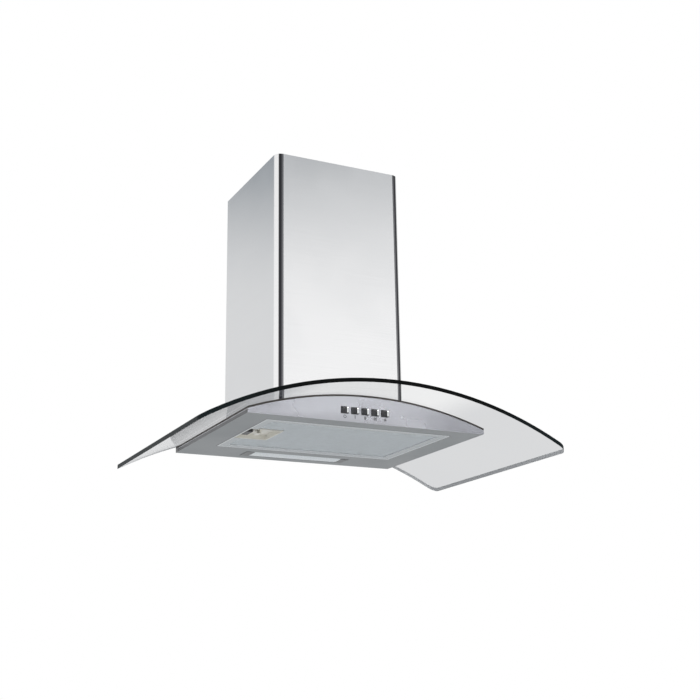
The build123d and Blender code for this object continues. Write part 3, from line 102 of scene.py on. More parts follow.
def coordinates(tree, scale=(1, 1, 1)):
    """Object coordinates, which are the row frame's metres, scaled for a texture."""
    source = add_node(tree, "ShaderNodeTexCoord")
    mapping = add_node(tree, "ShaderNodeMapping")
    mapping.inputs["Scale"].default_value = scale
    link(tree, source.outputs["Object"], mapping.inputs["Vector"])
    return mapping.outputs["Vector"]


def split_vector(tree, vector):
    """X, Y and Z of a vector."""
    node = add_node(tree, "ShaderNodeSeparateXYZ")
    link(tree, vector, node.inputs[0])
    return node.outputs


def noise(tree, vector, scale=1.0, detail=3.0, roughness=0.5):
    texture = add_node(tree, "ShaderNodeTexNoise")
    set_inputs(tree, texture, {"Vector": vector, "Scale": scale, "Detail": detail, "Roughness": roughness})
    return texture.outputs["Fac"]


def remap(tree, value, low, high, from_low=0.3, from_high=0.7):
    """Value spread smoothly from one range to another."""
    node = add_node(tree, "ShaderNodeMapRange", interpolation_type="SMOOTHSTEP")
    set_inputs(tree, node, {
        "Value": value, "From Min": from_low, "From Max": from_high, "To Min": low, "To Max": high,
    })
    return node.outputs["Result"]


def arithmetic(tree, operation, first, second=0.0):
    """One sum, product or the like of two values."""
    node = add_node(tree, "ShaderNodeMath", operation=operation)
    feed(tree, first, node.inputs[0])
    feed(tree, second, node.inputs[1])
    return node.outputs[0]


def weighed(tree, first, second, share):
    """Sum of two values, the first by a share and the second by the rest."""
    return arithmetic(
        tree, "ADD", arithmetic(tree, "MULTIPLY", first, share), arithmetic(tree, "MULTIPLY", second, 1 - share)
    )


def colour_ramp(tree, factor, stops):
    """Colour by a factor from 0 to 1, from pairs of place and colour."""
    node = add_node(tree, "ShaderNodeValToRGB")
    elements = node.color_ramp.elements
    elements[0].position, elements[1].position = stops[0][0], stops[-1][0]
    elements[0].color = (*stops[0][1], 1)
    elements[1].color = (*stops[-1][1], 1)
    for place, colour in stops[1:-1]:
        elements.new(place).color = (*colour, 1)
    link(tree, factor, node.inputs["Fac"])
    return node.outputs["Color"]


def mix_colours(tree, factor, first, second, blend_type="MIX"):
    """Colour between two, by a factor from 0 to 1."""
    mix = add_node(tree, "ShaderNodeMix", data_type="RGBA", blend_type=blend_type)
    for place, value in ((0, factor), (6, first), (7, second)):
        feed(tree, value, mix.inputs[place])
    return mix.outputs[2]


def multiply_colours(tree, first, second):
    return mix_colours(tree, 1.0, first, second, "MULTIPLY")


def mix_shaders(tree, factor, first, second):
    """Shader between two, by a factor from 0 to 1."""
    mix = add_node(tree, "ShaderNodeMixShader")
    for socket, value in zip(mix.inputs, (factor, first, second)):
        link(tree, value, socket)
    return mix.outputs[0]


def bump(tree, height, strength, distance=0.0002):
    node = add_node(tree, "ShaderNodeBump")
    set_inputs(tree, node, {"Height": height, "Strength": strength, "Distance": distance})
    return node.outputs["Normal"]


def scaled(colour, factor):
    return tuple(min(1.0, c * factor) for c in colour)


def varied(tree, factor, colour, spread):
    """Colour from a little under to a little over a middle one, by a factor from 0 to 1."""
    return mix_colours(tree, factor, scaled(colour, 1 - spread), scaled(colour, 1 + spread))


# Materials
# Brush lines along X, or level round upright faces: the noise's stretch, the tangent's axis and its turn
BRUSHING = {
    "X": ((5, 1100, 1100), "X", 0.0),
    "XY": ((5, 5, 1100), "Z", 0.25),
}


def brushed_metal(name, colour, roughness, along, depth, streak=0.05, aniso=0.6, painted_reflection_bands=False):
    """Metal with fine brush lines, a few longer scratches, faint smudges and a slightly uneven gloss.

    along is one of BRUSHING's keys. The corner flag adds painted reflection bands on the rounded corners."""
    material, tree = new_material(name)
    stretch, axis, turn = BRUSHING[along]
    lines = noise(tree, coordinates(tree, stretch), detail=4.0, roughness=0.7)
    long_stretch = tuple(c / 2.5 if c > 100 else c / 3 for c in stretch)
    scratches = noise(tree, coordinates(tree, long_stretch), detail=2.0)
    smudges = noise(tree, coordinates(tree, (9, 9, 9)))
    shade = weighed(tree, lines, smudges, 0.6)
    scratched = remap(tree, scratches, 0.0, 0.12, from_low=0.66, from_high=0.74)
    shade = arithmetic(tree, "SUBTRACT", shade, scratched)
    tint = varied(tree, remap(tree, shade, 0, 1), colour, streak)
    # Painted reflection: dark bands on the rounded corners, standing in for a darker part of the room mirrored
    # there
    if painted_reflection_bands:
        tint = multiply_colours(tree, tint, painted_corner_reflection(tree))
    tangent = add_node(tree, "ShaderNodeTangent", direction_type="RADIAL", axis=axis)
    set_surface(tree, {
        "Base Color": tint,
        "Metallic": 1.0,
        "Roughness": remap(tree, smudges, roughness - 0.02, roughness + 0.03),
        "Normal": bump(tree, lines, depth),
        "Tangent": tangent.outputs["Tangent"],
        "Anisotropic": aniso,
        "Anisotropic Rotation": turn,
    })
    return material


def painted_corner_reflection(tree):
    """Painted reflection: dark and grey bands on a folded cover's rounded corners beside its front face, by the
    object's own normal.
    """
    source = add_node(tree, "ShaderNodeTexCoord")
    normal = split_vector(tree, source.outputs["Normal"])
    sideways = arithmetic(tree, "ABSOLUTE", normal[0])
    forwards = arithmetic(tree, "MULTIPLY", normal[1], -1.0)
    angle = arithmetic(tree, "ARCTAN2", sideways, forwards)
    plain = (1.0, 1.0, 1.0)
    grey = (0.22, 0.22, 0.23)
    dark = (0.045, 0.045, 0.05)
    stops = [
        (0.0, plain), (0.006, plain), (0.014, grey), (0.070, grey),
        (0.090, dark), (0.195, dark), (0.225, plain), (1.0, plain),
    ]
    return colour_ramp(tree, arithmetic(tree, "DIVIDE", angle, math.pi), stops)


def plain_metal(name, colour, roughness, grain=60.0, spread=0.08, depth=0.1):
    """Rolled or turned metal with a fine grain, cloudy patches and small nicks."""
    material, tree = new_material(name)
    grains = noise(tree, coordinates(tree), scale=grain * 20, detail=4.0)
    patches = noise(tree, coordinates(tree), scale=grain, roughness=0.6)
    set_surface(tree, {
        "Base Color": varied(tree, remap(tree, patches, 0, 1), colour, spread),
        "Metallic": 1.0,
        "Roughness": remap(tree, patches, roughness - 0.05, roughness + 0.05),
        "Normal": bump(tree, grains, depth),
    })
    return material


def spangled_zinc(name, colour, roughness):
    """Hot-dip galvanised sheet: crystals of slightly different greys with a faint grain inside each."""
    material, tree = new_material(name)
    wander = noise(tree, coordinates(tree), scale=60.0, detail=2.0)
    shifted = add_node(tree, "ShaderNodeVectorMath", operation="ADD")
    link(tree, coordinates(tree), shifted.inputs[0])
    link(tree, arithmetic(tree, "MULTIPLY", wander, 0.008), shifted.inputs[1])
    crystals = add_node(tree, "ShaderNodeTexVoronoi", feature="F1")
    set_inputs(tree, crystals, {"Vector": shifted.outputs[0], "Scale": 110.0})
    cell = add_node(tree, "ShaderNodeSeparateColor")
    link(tree, crystals.outputs["Color"], cell.inputs[0])
    grains = noise(tree, coordinates(tree, (400, 1400, 900)))
    shade = weighed(tree, cell.outputs[0], grains, 0.75)
    set_surface(tree, {
        "Base Color": mix_colours(tree, shade, scaled(colour, 0.80), scaled(colour, 1.16)),
        "Metallic": 1.0,
        "Roughness": remap(tree, cell.outputs[1], roughness - 0.07, roughness + 0.08, 0.0, 1.0),
        "Normal": bump(tree, grains, 0.08),
    })
    return material


def laminated(name, colour, roughness):
    """Stack of thin iron sheets along X, with a dark line between two."""
    material, tree = new_material(name)
    wave = add_node(tree, "ShaderNodeTexWave", wave_type="BANDS", bands_direction="X")
    set_inputs(tree, wave, {"Vector": coordinates(tree), "Scale": 320.0, "Distortion": 0.3})
    layers = wave.outputs["Fac"]
    set_surface(tree, {
        "Base Color": mix_colours(tree, remap(tree, layers, 0, 1, 0.1, 0.4), scaled(colour, 0.35), colour),
        "Metallic": 0.8,
        "Roughness": remap(tree, layers, roughness + 0.1, roughness),
        "Normal": bump(tree, layers, 0.3, 0.0003),
    })
    return material


def moulded(name, colour, roughness, depth=0.15, metallic=0.0):
    """Moulded plastic, paint or rubber with a fine surface grain and a faint unevenness."""
    material, tree = new_material(name)
    grains = noise(tree, coordinates(tree), scale=900.0)
    patches = noise(tree, coordinates(tree), scale=14.0, detail=2.0)
    set_surface(tree, {
        "Base Color": varied(tree, remap(tree, patches, 0, 1), colour, 0.06),
        "Metallic": metallic,
        "Roughness": remap(tree, grains, roughness - 0.06, roughness + 0.06),
        "Normal": bump(tree, grains, depth, 0.0003),
    })
    return material


def clear_glass():
    """Clear sheet glass with a faint grey tint that varies a little, painted shade for a dim backdrop seen through
    it, and clearest in the middle of its front, painted light so the steel behind shows brighter there.

    The low IOR keeps the mirror images faint where it is seen along its length."""
    material, tree = new_material("clear_glass")
    place = split_vector(tree, coordinates(tree))
    beside = remap(tree, arithmetic(tree, "ABSOLUTE", place[0]), 0.0, 1.0, from_low=0.09, from_high=0.17)
    behind = remap(tree, place[1], 0.0, 1.0, from_low=-0.34, from_high=-0.30)
    ripple = noise(tree, coordinates(tree), scale=5.0, detail=0.0)
    tint = mix_colours(tree, ripple, (0.68, 0.688, 0.70), (0.70, 0.706, 0.714))
    outside_painted_light = arithmetic(tree, "MAXIMUM", beside, behind)
    set_surface(tree, {
        # Painted light: paler in the middle of the front; painted shade: the grey tint elsewhere
        "Base Color": mix_colours(tree, outside_painted_light, (0.86, 0.865, 0.865), tint),
        "Transmission Weight": 1.0,
        "IOR": 1.02,
        "Roughness": 0.0,
    })
    return material


def glass_edge(name, middle, end):
    """Ground edge of the glass, its colour painted shade and reflection for light that has run through the sheet's
    width, greener towards its ends.

    Seen from inside the sheet, it is painted pale."""
    material, tree = new_material(name)
    grains = noise(tree, coordinates(tree), scale=500.0)
    place = split_vector(tree, coordinates(tree))
    outwards = remap(tree, arithmetic(tree, "ABSOLUTE", place[0]), 0.0, 1.0, from_low=0.14, from_high=0.30)
    shade = mix_colours(tree, outwards, middle, end)
    fleck = mix_colours(tree, grains, (0.75, 0.75, 0.75), (1.0, 1.0, 1.0))
    inside = add_node(tree, "ShaderNodeNewGeometry").outputs["Backfacing"]
    set_surface(tree, {
        "Base Color": mix_colours(tree, inside, multiply_colours(tree, shade, fleck), (0.55, 0.56, 0.57)),
        "IOR": 1.5,
        "Specular IOR Level": 0.06,
        "Roughness": remap(tree, grains, 0.25, 0.4),
    })
    return material


def frosted_lens():
    """Pale moulded lens with fine ribs along its length, which lets the lights behind it through faintly."""
    material, tree = new_material("lens_plastic")
    ribs = noise(tree, coordinates(tree, (3, 700, 700)))
    cloud = noise(tree, coordinates(tree), scale=30.0, detail=2.0)
    set_surface(tree, {
        "Base Color": mix_colours(tree, remap(tree, cloud, 0, 1), (0.86, 0.93, 0.97), (0.93, 0.98, 1.0)),
        "Transmission Weight": 0.1,
        "IOR": 1.49,
        "Specular IOR Level": 0.9,
        "Roughness": remap(tree, ribs, 0.18, 0.34),
        "Normal": bump(tree, ribs, 0.12, 0.0003),
    })
    return material


# The chimney's steel carries painted reflection bands on its rounded corners
chimney_steel = brushed_metal(
    "chimney_steel", (0.925, 0.925, 0.93), 0.17, "XY", depth=0.03, streak=0.022, painted_reflection_bands=True
)
# Painted shade: the canopy's underside, side walls and fascia are the chimney's steel, painted darker where they
# face down or sit under the glass
painted_shade_canopy_steel = brushed_metal("painted_shade_canopy_steel", (0.192, 0.207, 0.217), 0.30, "X", depth=0.05)
painted_shade_fascia_steel = brushed_metal("painted_shade_fascia_steel", (0.385, 0.39, 0.42), 0.26, "X", depth=0.04, streak=0.03)
painted_shade_side_steel = brushed_metal("painted_shade_side_steel", (0.19, 0.19, 0.195), 0.40, "XY", depth=0.04, streak=0.03)
filter_metal = brushed_metal("filter_aluminium", (0.40, 0.425, 0.44), 0.34, "X", depth=0.05, aniso=0.3)
zinc = spangled_zinc("galvanised", (0.56, 0.57, 0.59), 0.38)
iron = laminated("laminated_iron", (0.34, 0.33, 0.32), 0.45)
bright_screw = plain_metal("bright_screw", (0.66, 0.66, 0.66), 0.2, grain=200.0)
chrome = plain_metal("chrome_trim", (0.86, 0.87, 0.88), 0.1, grain=150.0, spread=0.03, depth=0.03)
bead_metal = plain_metal("bead_aluminium", (0.56, 0.58, 0.59), 0.26, grain=160.0, spread=0.05)
# Painted light: the filter frame's inner lip, paler than the frame's own aluminium
painted_light_lip_metal = plain_metal("lip_aluminium", (0.86, 0.88, 0.89), 0.6, grain=160.0, spread=0.03)
mesh_metal = plain_metal("mesh_aluminium", (0.73, 0.765, 0.785), 0.50, grain=120.0, spread=0.03)
fan_metal = plain_metal("fan_aluminium", (0.62, 0.63, 0.64), 0.36)
ground_steel = plain_metal("ground_steel", (0.62, 0.62, 0.63), 0.18, grain=150.0)
wire_steel = plain_metal("spring_wire", (0.55, 0.55, 0.55), 0.22, grain=300.0)
gasket = moulded("gasket_rubber", (0.055, 0.048, 0.045), 0.6)
grommet = moulded("grommet_rubber", (0.03, 0.03, 0.03), 0.7)
dark_plastic = moulded("dark_plastic", (0.035, 0.035, 0.04), 0.42)
clip_plastic = moulded("clip_plastic", (0.13, 0.135, 0.14), 0.4)
mark_ink = moulded("mark_ink", (0.06, 0.06, 0.065), 0.5)
button_plastic = moulded("button_plastic", (0.022, 0.022, 0.026), 0.22, depth=0.05)
handle_plastic = moulded("handle_plastic", (0.88, 0.86, 0.79), 0.45)
fan_plastic = moulded("fan_plastic", (0.30, 0.31, 0.33), 0.5)
motor_paint = moulded("motor_paint", (0.12, 0.125, 0.135), 0.4, metallic=0.3)
capacitor_case = moulded("capacitor_case", (0.70, 0.70, 0.67), 0.4)
electrical_plastic = moulded("electrical_plastic", (0.08, 0.08, 0.085), 0.5)
laminate = moulded("board_laminate", (0.03, 0.13, 0.06), 0.35)
white_laminate = moulded("lamp_laminate", (0.78, 0.78, 0.75), 0.4)
lens_plastic = frosted_lens()
glass = clear_glass()
# Painted shade and reflection on the glass's edges, dark at the front and left and pale at the rear and right
painted_dark_edge = glass_edge("glass_edge_front", (0.003, 0.004, 0.004), (0.012, 0.019, 0.021))
painted_pale_edge = glass_edge("glass_edge_side", (0.42, 0.44, 0.44), (0.46, 0.49, 0.49))

# CAD nodes by material
BY_NODE = {
    chimney_steel: ["chimney_cover", "chimney_extension"],
    painted_shade_canopy_steel: ["canopy_tray"],
    painted_shade_fascia_steel: ["control_fascia"],
    zinc: ["canopy_top", "blower_box", "wall_rail", "motor_bracket", "extension_bracket", "lamp_housing"],
    bright_screw: ["glass_screws", "box_screws", "collar_screws", "motor_screws", "impeller_nut"],
    filter_metal: ["filter_frame"],
    mesh_metal: ["filter_mesh", "filter_backing"],
    fan_metal: ["impeller", "impeller_blades", "impeller_rings"],
    iron: ["motor_rotor", "motor_stator"],
    ground_steel: ["motor_shaft", "motor_bearings"],
    wire_steel: ["latch_spring", "flap_pins"],
    gasket: ["glass_gasket", "glass_washers"],
    grommet: ["motor_grommets"],
    dark_plastic: ["wall_spacers", "inlet_guard", "switch_carrier", "filter_latch", "cable_gland"],
    clip_plastic: ["lamp_clips"],
    button_plastic: ["button_off", "button_low", "button_medium", "button_high", "button_light"],
    handle_plastic: ["filter_handle"],
    fan_plastic: ["scroll_casing", "scroll_cover", "outlet_collar", "flap_right", "flap_left"],
    motor_paint: ["motor_housing", "motor_cap"],
    capacitor_case: ["motor_capacitor"],
    electrical_plastic: ["terminal_box", "key_switches"],
    laminate: ["switch_board"],
    white_laminate: ["lamp_board"],
    lens_plastic: ["lamp_lens"],
    glass: ["glass_canopy"],
}
for material, names in BY_NODE.items():
    for name in names:
        nodes[name].data.materials.clear()
        nodes[name].data.materials.append(material)

# How much of a face's normal lies in a direction: mostly, partly, and the most upwards part of an upright face
MOSTLY = 0.8
PARTLY = 0.3
UPRIGHT = 0.5

# Painted shade and reflection: the glass's ground edges are painted dark at the front and left, and pale at the
# rear and right
sheet = nodes["glass_canopy"].data
sheet.materials.append(painted_dark_edge)
sheet.materials.append(painted_pale_edge)
for polygon in sheet.polygons:
    if polygon.normal.y < -PARTLY or polygon.normal.x < -MOSTLY:
        polygon.material_index = 1
    elif polygon.normal.y > PARTLY or polygon.normal.x > MOSTLY:
        polygon.material_index = 2

# The tray's side walls are brushed level, duller than its underside, and painted dark like it as painted shade
tray = nodes["canopy_tray"].data
tray.materials.append(painted_shade_side_steel)
for polygon in tray.polygons:
    if abs(polygon.normal.x) > MOSTLY:
        polygon.material_index = 1

# The filter frame's inner lip is cut metal and duller than its face, and painted paler as painted light, so its
# recess shows a light line instead of shade
filter_frame = nodes["filter_frame"]
filter_frame.data.materials.append(painted_light_lip_metal)
for polygon in filter_frame.data.polygons:
    middle = filter_frame.matrix_world @ polygon.center
    within = abs(middle.x) < FILTER_LIP_HALF[0] and abs(middle.y - FILTER_MIDDLE_Y) < FILTER_LIP_HALF[1]
    if within and abs(polygon.normal.z) < UPRIGHT:
        polygon.material_index = 1


# New pieces
def finish_piece(name, mesh_tool, material, body, replaced=()):
    """Turn a bmesh into a piece that rides on a body and takes the material it is given."""
    bmesh.ops.recalc_face_normals(mesh_tool, faces=mesh_tool.faces)
    mesh = bpy.data.meshes.new(name)
    mesh_tool.to_mesh(mesh)
    mesh_tool.free()
    mesh.materials.append(material)
    piece = bpy.data.objects.new(name, mesh)
    bpy.context.collection.objects.link(piece)
    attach(piece, body)
    if replaced:
        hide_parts(*replaced)
    return piece


def smooth_under(piece, degrees):
    """Smooth shading, with sharp edges where two faces meet at more than an angle."""
    limit = math.radians(degrees)
    mesh_tool = bmesh.new()
    mesh_tool.from_mesh(piece.data)
    for face in mesh_tool.faces:
        face.smooth = True
    for edge in mesh_tool.edges:
        edge.smooth = len(edge.link_faces) == 2 and edge.calc_face_angle() < limit
    mesh_tool.to_mesh(piece.data)
    mesh_tool.free()


# Screws and washers
LATHE_SIDES = 48
SCREW_CREASE = 35


def add_lathe(mesh_tool, rings, matrix, closed=False):
    """Turned shape about a matrix's Z. A ring is a height and a radius, or a height and a function of angle."""
    loops = []
    for height, radius in rings:
        loop = []
        for step in range(LATHE_SIDES):
            angle = 2 * math.pi * step / LATHE_SIDES
            reach = radius(angle) if callable(radius) else radius
            spot = Vector((reach * math.cos(angle), reach * math.sin(angle), height))
            loop.append(mesh_tool.verts.new(matrix @ spot))
        loops.append(loop)
    pairs = list(zip(loops, loops[1:]))
    if closed:
        pairs.append((loops[-1], loops[0]))
    for below, over in pairs:
        for step in range(LATHE_SIDES):
            after = (step + 1) % LATHE_SIDES
            mesh_tool.faces.new((below[step], below[after], over[after], over[step]))
    if not closed:
        mesh_tool.faces.new(reversed(loops[0]))
        mesh_tool.faces.new(loops[-1])


def cross_recess(length, width):
    """Radius by angle of a cross-shaped driver recess."""
    def reach(angle):
        along = max(abs(math.cos(angle)), 1e-6)
        across = max(abs(math.sin(angle)), 1e-6)
        return max(min(length / along, width / across), min(length / across, width / along))
    return reach


def screw_rings(shank, tail, head, height, pitch):
    """Rings of a screw: a threaded shank below zero and a domed head with a cross recess above.

    shank and head are radii, tail and height are the lengths below and above zero."""
    rings = [(-tail, shank * 0.55), (-tail + pitch, shank)]
    turns = int((tail - 2 * pitch) / pitch)
    for turn in range(turns):
        place = -tail + pitch * (1 + turn)
        rings += [(place + pitch * 0.5, shank * 0.82), (place + pitch, shank)]
    rings += [(0.0, shank), (0.0, head * 0.97), (height * 0.12, head), (height * 0.4, head * 0.97)]
    rings += [(height * 0.72, head * 0.86), (height * 0.93, head * 0.68), (height, head * 0.55)]
    rings += [
        (height * 0.99, cross_recess(head * 0.46, head * 0.12)),
        (height * 0.35, cross_recess(head * 0.34, head * 0.08)),
    ]
    return rings


def washer_rings(low, high, chamfer):
    """Section of a rubber washer round a glass screw, between two heights."""
    bore, radius = 0.0023, 0.009
    return [
        (low, bore), (low, radius - 0.0002), (low + chamfer, radius),
        (high - chamfer, radius), (high, radius - 0.0004), (high, bore),
    ]


def placed(point, direction):
    """Matrix that puts a lathe's zero at a point, with its Z along a direction."""
    turn = Vector(direction).to_track_quat("Z", "Y").to_matrix().to_4x4()
    return Matrix.Translation(point) @ turn


def on_arch(x, y, radius):
    """Matrix for a place on one of the arch's cylinders, straight out from the canopy's skin at x and y."""
    angle = math.asin(x / SKIN_OUTER_RADIUS)
    normal = Vector((math.sin(angle), 0, math.cos(angle)))
    return placed(Vector((0, y, ARCH_CENTRE_Z)) + normal * radius, normal)


def add_screws(name, replaced, seats, **sizes):
    """One piece of equal screws, each with its head's underside on a seat."""
    screws = bmesh.new()
    for seat in seats:
        add_lathe(screws, screw_rings(**sizes), seat)
    smooth_under(finish_piece(name, screws, bright_screw, "hood", [replaced]), SCREW_CREASE)


# Rubber washers over and under the glass, each a little clear of it or of the skin
WASHER_CLEARANCE = 0.0001
OVER_THICKNESS = 0.001
UNDER_THICKNESS = 0.0028
OVER_RADIUS = GLASS_OUTER_RADIUS + WASHER_CLEARANCE + OVER_THICKNESS
UNDER_RADIUS = SKIN_OUTER_RADIUS + WASHER_CLEARANCE
GLASS_SCREWS = [(x, y) for x in (-0.14, 0.14) for y in (-0.05, -0.25)]

over_seats = [on_arch(x, y, OVER_RADIUS) for x, y in GLASS_SCREWS]
add_screws(
    "glass_screws_turned", "glass_screws", over_seats,
    shank=0.002, tail=0.0172, head=0.0074, height=0.0026, pitch=0.0008,
)
under_seats = [on_arch(x, y, UNDER_RADIUS) for x, y in GLASS_SCREWS]
washers = bmesh.new()
for over_seat, under_seat in zip(over_seats, under_seats):
    add_lathe(washers, washer_rings(-OVER_THICKNESS, 0, chamfer=0.0003), over_seat, closed=True)
    add_lathe(washers, washer_rings(0, UNDER_THICKNESS, chamfer=0.0004), under_seat, closed=True)
smooth_under(
    finish_piece("glass_washers_turned", washers, gasket, "hood", ["glass_washers"]), SCREW_CREASE
)

BOX_SIDE, BOX_SCREW_Z = 0.097, -0.162
COLLAR_TOP = above(0.253)
MOTOR_BRACKET_X = -0.056

box_seats = [placed((side * BOX_SIDE, y, BOX_SCREW_Z), (side, 0, 0)) for side in (-1, 1) for y in (-0.158, -0.060)]
add_screws(
    "box_screws_turned", "box_screws", box_seats,
    shank=0.0015, tail=0.005, head=0.003, height=0.0018, pitch=0.0007,
)
collar_seats = [placed((x, y, COLLAR_TOP), (0, 0, 1)) for x in (-0.066, 0.066) for y in (-0.126, -0.022)]
add_screws(
    "collar_screws_turned", "collar_screws", collar_seats,
    shank=0.0017, tail=0.003, head=0.0034, height=0.0022, pitch=0.0007,
)
motor_places = ((-0.0594, -0.0945), (-0.1105, -0.0060), (-0.1616, -0.0945))
motor_seats = [placed((MOTOR_BRACKET_X, y, z), (-1, 0, 0)) for y, z in motor_places]
add_screws(
    "motor_screws_turned", "motor_screws", motor_seats,
    shank=0.0019, tail=0.007, head=0.0038, height=0.0024, pitch=0.0008,
)

# Grease filter: layers of slit and stretched sheet, each two families of slanting strands
WINDOW_HALF = (0.1482, 0.0957)
HANDLE_RIGHT = -0.0985
HANDLE_HALF = 0.0375
SHORTEST_STRAND = 0.001
# Each layer's pitch along X and Y, strand width, height of its underside, sheet thickness and shift in pitches
LOWER_LAYERS = [
    (0.0080, 0.0045, 0.0010, 0.0013, 0.0004, 0.0),
    (0.0050, 0.0030, 0.0007, 0.0019, 0.0003, 0.4),
    (0.0080, 0.0045, 0.0010, 0.0032, 0.0004, 0.5),
    (0.0080, 0.0045, 0.0010, 0.0046, 0.0004, 0.2),
]
UPPER_LAYERS = [
    (0.0080, 0.0045, 0.0010, 0.0062, 0.0004, 0.7),
    (0.0120, 0.0070, 0.0016, 0.0079, 0.0005, 0.0),
]


def strand_runs(pitch_x, pitch_y, sign, shift):
    """Ends of the slanting strands of one family, clipped to the frame and cut round the handle."""
    half_x, half_y = WINDOW_HALF
    slant = sign * pitch_x / pitch_y
    span = 2 * half_y * abs(slant)
    count = int((2 * half_x + span) / pitch_x) + 2
    runs = []
    for index in range(count):
        start = -half_x - (span if sign > 0 else 0) + (index + shift) * pitch_x
        limits = sorted(((-half_x - start) / slant - half_y, (half_x - start) / slant - half_y))
        low, high = max(-half_y, limits[0]), min(half_y, limits[1])
        if high <= low:
            continue
        edge = (HANDLE_RIGHT - start) / slant - half_y
        if sign > 0:
            cut_low, cut_high = -HANDLE_HALF, min(HANDLE_HALF, edge)
        else:
            cut_low, cut_high = max(-HANDLE_HALF, edge), HANDLE_HALF
        if cut_high > cut_low and cut_high > low and cut_low < high:
            parts = [(low, min(high, cut_low)), (max(low, cut_high), high)]
        else:
            parts = [(low, high)]
        for part in parts:
            if part[1] - part[0] > SHORTEST_STRAND:
                runs.append([Vector((start + (y + half_y) * slant, y)) for y in part])
    return runs


def add_strands(mesh_tool, pitch_x, pitch_y, width, low, thickness, shift):
    """One stretched sheet, its two families of strands half a thickness apart in height."""
    for sign in (1, -1):
        bottom = above(low + (0.5 * thickness if sign < 0 else 0.0))
        for ends in strand_runs(pitch_x, pitch_y, sign, shift):
            direction = (ends[1] - ends[0]).normalized()
            aside = Vector((-direction.y, direction.x)) * width / 2
            corners = []
            for end in ends:
                for side in (-1, 1):
                    spot = end + aside * side
                    for top in (0, 1):
                        corner = (spot.x, FILTER_MIDDLE_Y + spot.y, bottom + top * thickness)
                        corners.append(mesh_tool.verts.new(corner))
            a, b, c, d, e, f, g, h = corners
            for face in ((a, c, g, e), (b, f, h, d), (a, e, f, b), (c, d, h, g), (a, b, d, c), (e, g, h, f)):
                mesh_tool.faces.new(face)


for name, layers, replaced in (
    ("filter_strands", LOWER_LAYERS, "filter_mesh"),
    ("filter_backing_strands", UPPER_LAYERS, "filter_backing"),
):
    strands = bmesh.new()
    for layer in layers:
        add_strands(strands, *layer)
    finish_piece(name, strands, mesh_metal, "filter", [replaced])


def rounded_path(half_x, half_y, radius, steps=6):
    """Points and outward directions along a rounded rectangle round the filter's middle."""
    path = []
    for quarter, (sx, sy) in enumerate(((1, 1), (-1, 1), (-1, -1), (1, -1))):
        for step in range(steps + 1):
            angle = math.pi / 2 * (quarter + step / steps)
            out = Vector((math.cos(angle), math.sin(angle)))
            centre = Vector((sx * (half_x - radius), sy * (half_y - radius)))
            path.append((centre + out * radius, out))
    return path


def add_bead(mesh_tool, path, section):
    """Section swept round a closed path: pairs of distance outwards and height."""
    loops = []
    for point, out in path:
        loop = []
        for reach, height in section:
            spot = point + out * reach
            loop.append(mesh_tool.verts.new((spot.x, FILTER_MIDDLE_Y + spot.y, above(height))))
        loops.append(loop)
    for here, after in zip(loops, loops[1:] + loops[:1]):
        for step in range(len(section)):
            following = (step + 1) % len(section)
            mesh_tool.faces.new((here[step], after[step], after[following], here[following]))


# Rolled bead round the filter frame, half an ellipse in section
BEAD_HALF = (0.1572, 0.1047)
BEAD_CORNER = 0.0012
BEAD_WIDTH = 0.0022
BEAD_DROP = 0.0006
BEAD_ANGLES = (0, 0.5, 1.1, 1.57, 2.1, 2.7, math.pi)
bead = bmesh.new()
bead_section = [(BEAD_WIDTH / 2 * (math.cos(a) - 1), -BEAD_DROP * math.sin(a)) for a in BEAD_ANGLES]
add_bead(bead, rounded_path(*BEAD_HALF, BEAD_CORNER), bead_section)
smooth_under(finish_piece("filter_bead", bead, bead_metal, "filter"), 50)

# Latch spring: a coil of round wire with closed ends, which shortens as the latch slides
WIRE_RADIUS = 0.0003
SPRING_TURNS = 7
CLOSED_TURNS = 0.75
SPRING_SIDES = 8
SPRING_STEPS = 24


def coil_place(turn, length):
    """Distance along the coil's axis after some turns, the first and last of them closed."""
    wire = 2 * WIRE_RADIUS
    open_pitch = (length - 2 * CLOSED_TURNS * wire) / (SPRING_TURNS - 2 * CLOSED_TURNS)
    if turn < CLOSED_TURNS:
        return turn * wire
    if turn > SPRING_TURNS - CLOSED_TURNS:
        return length - (SPRING_TURNS - turn) * wire
    return CLOSED_TURNS * wire + (turn - CLOSED_TURNS) * open_pitch


def add_coil(mesh_tool, low, high):
    """Coil along X that fills the box between two corners."""
    middle = (low + high) / 2
    coil_radius = (high.z - low.z) / 2 - WIRE_RADIUS
    length = high.x - low.x - 2 * WIRE_RADIUS
    rings = []
    for step in range(SPRING_TURNS * SPRING_STEPS + 1):
        turn = step / SPRING_STEPS
        out = Vector((0, math.cos(2 * math.pi * turn), math.sin(2 * math.pi * turn)))
        centre = Vector((low.x + WIRE_RADIUS + coil_place(turn, length), middle.y, middle.z))
        centre += out * coil_radius
        ring = []
        for side in range(SPRING_SIDES):
            angle = 2 * math.pi * side / SPRING_SIDES
            across = math.cos(angle) * out + Vector((math.sin(angle), 0, 0))
            ring.append(mesh_tool.verts.new(centre + WIRE_RADIUS * across))
        rings.append(ring)
    for here, after in zip(rings, rings[1:]):
        for side in range(SPRING_SIDES):
            following = (side + 1) % SPRING_SIDES
            mesh_tool.faces.new((here[side], here[following], after[following], after[side]))
    mesh_tool.faces.new(rings[0])
    mesh_tool.faces.new(reversed(rings[-1]))


corners = [nodes["latch_spring"].matrix_world @ Vector(c) for c in nodes["latch_spring"].bound_box]
low = Vector([min(c[i] for c in corners) for i in range(3)])
high = Vector([max(c[i] for c in corners) for i in range(3)])
middle = (low + high) / 2
coil = bmesh.new()
add_coil(coil, low, high)
spring = finish_piece("latch_spring_coil", coil, wire_steel, "filter", ["latch_spring"])
smooth_under(spring, 60)
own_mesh(spring)

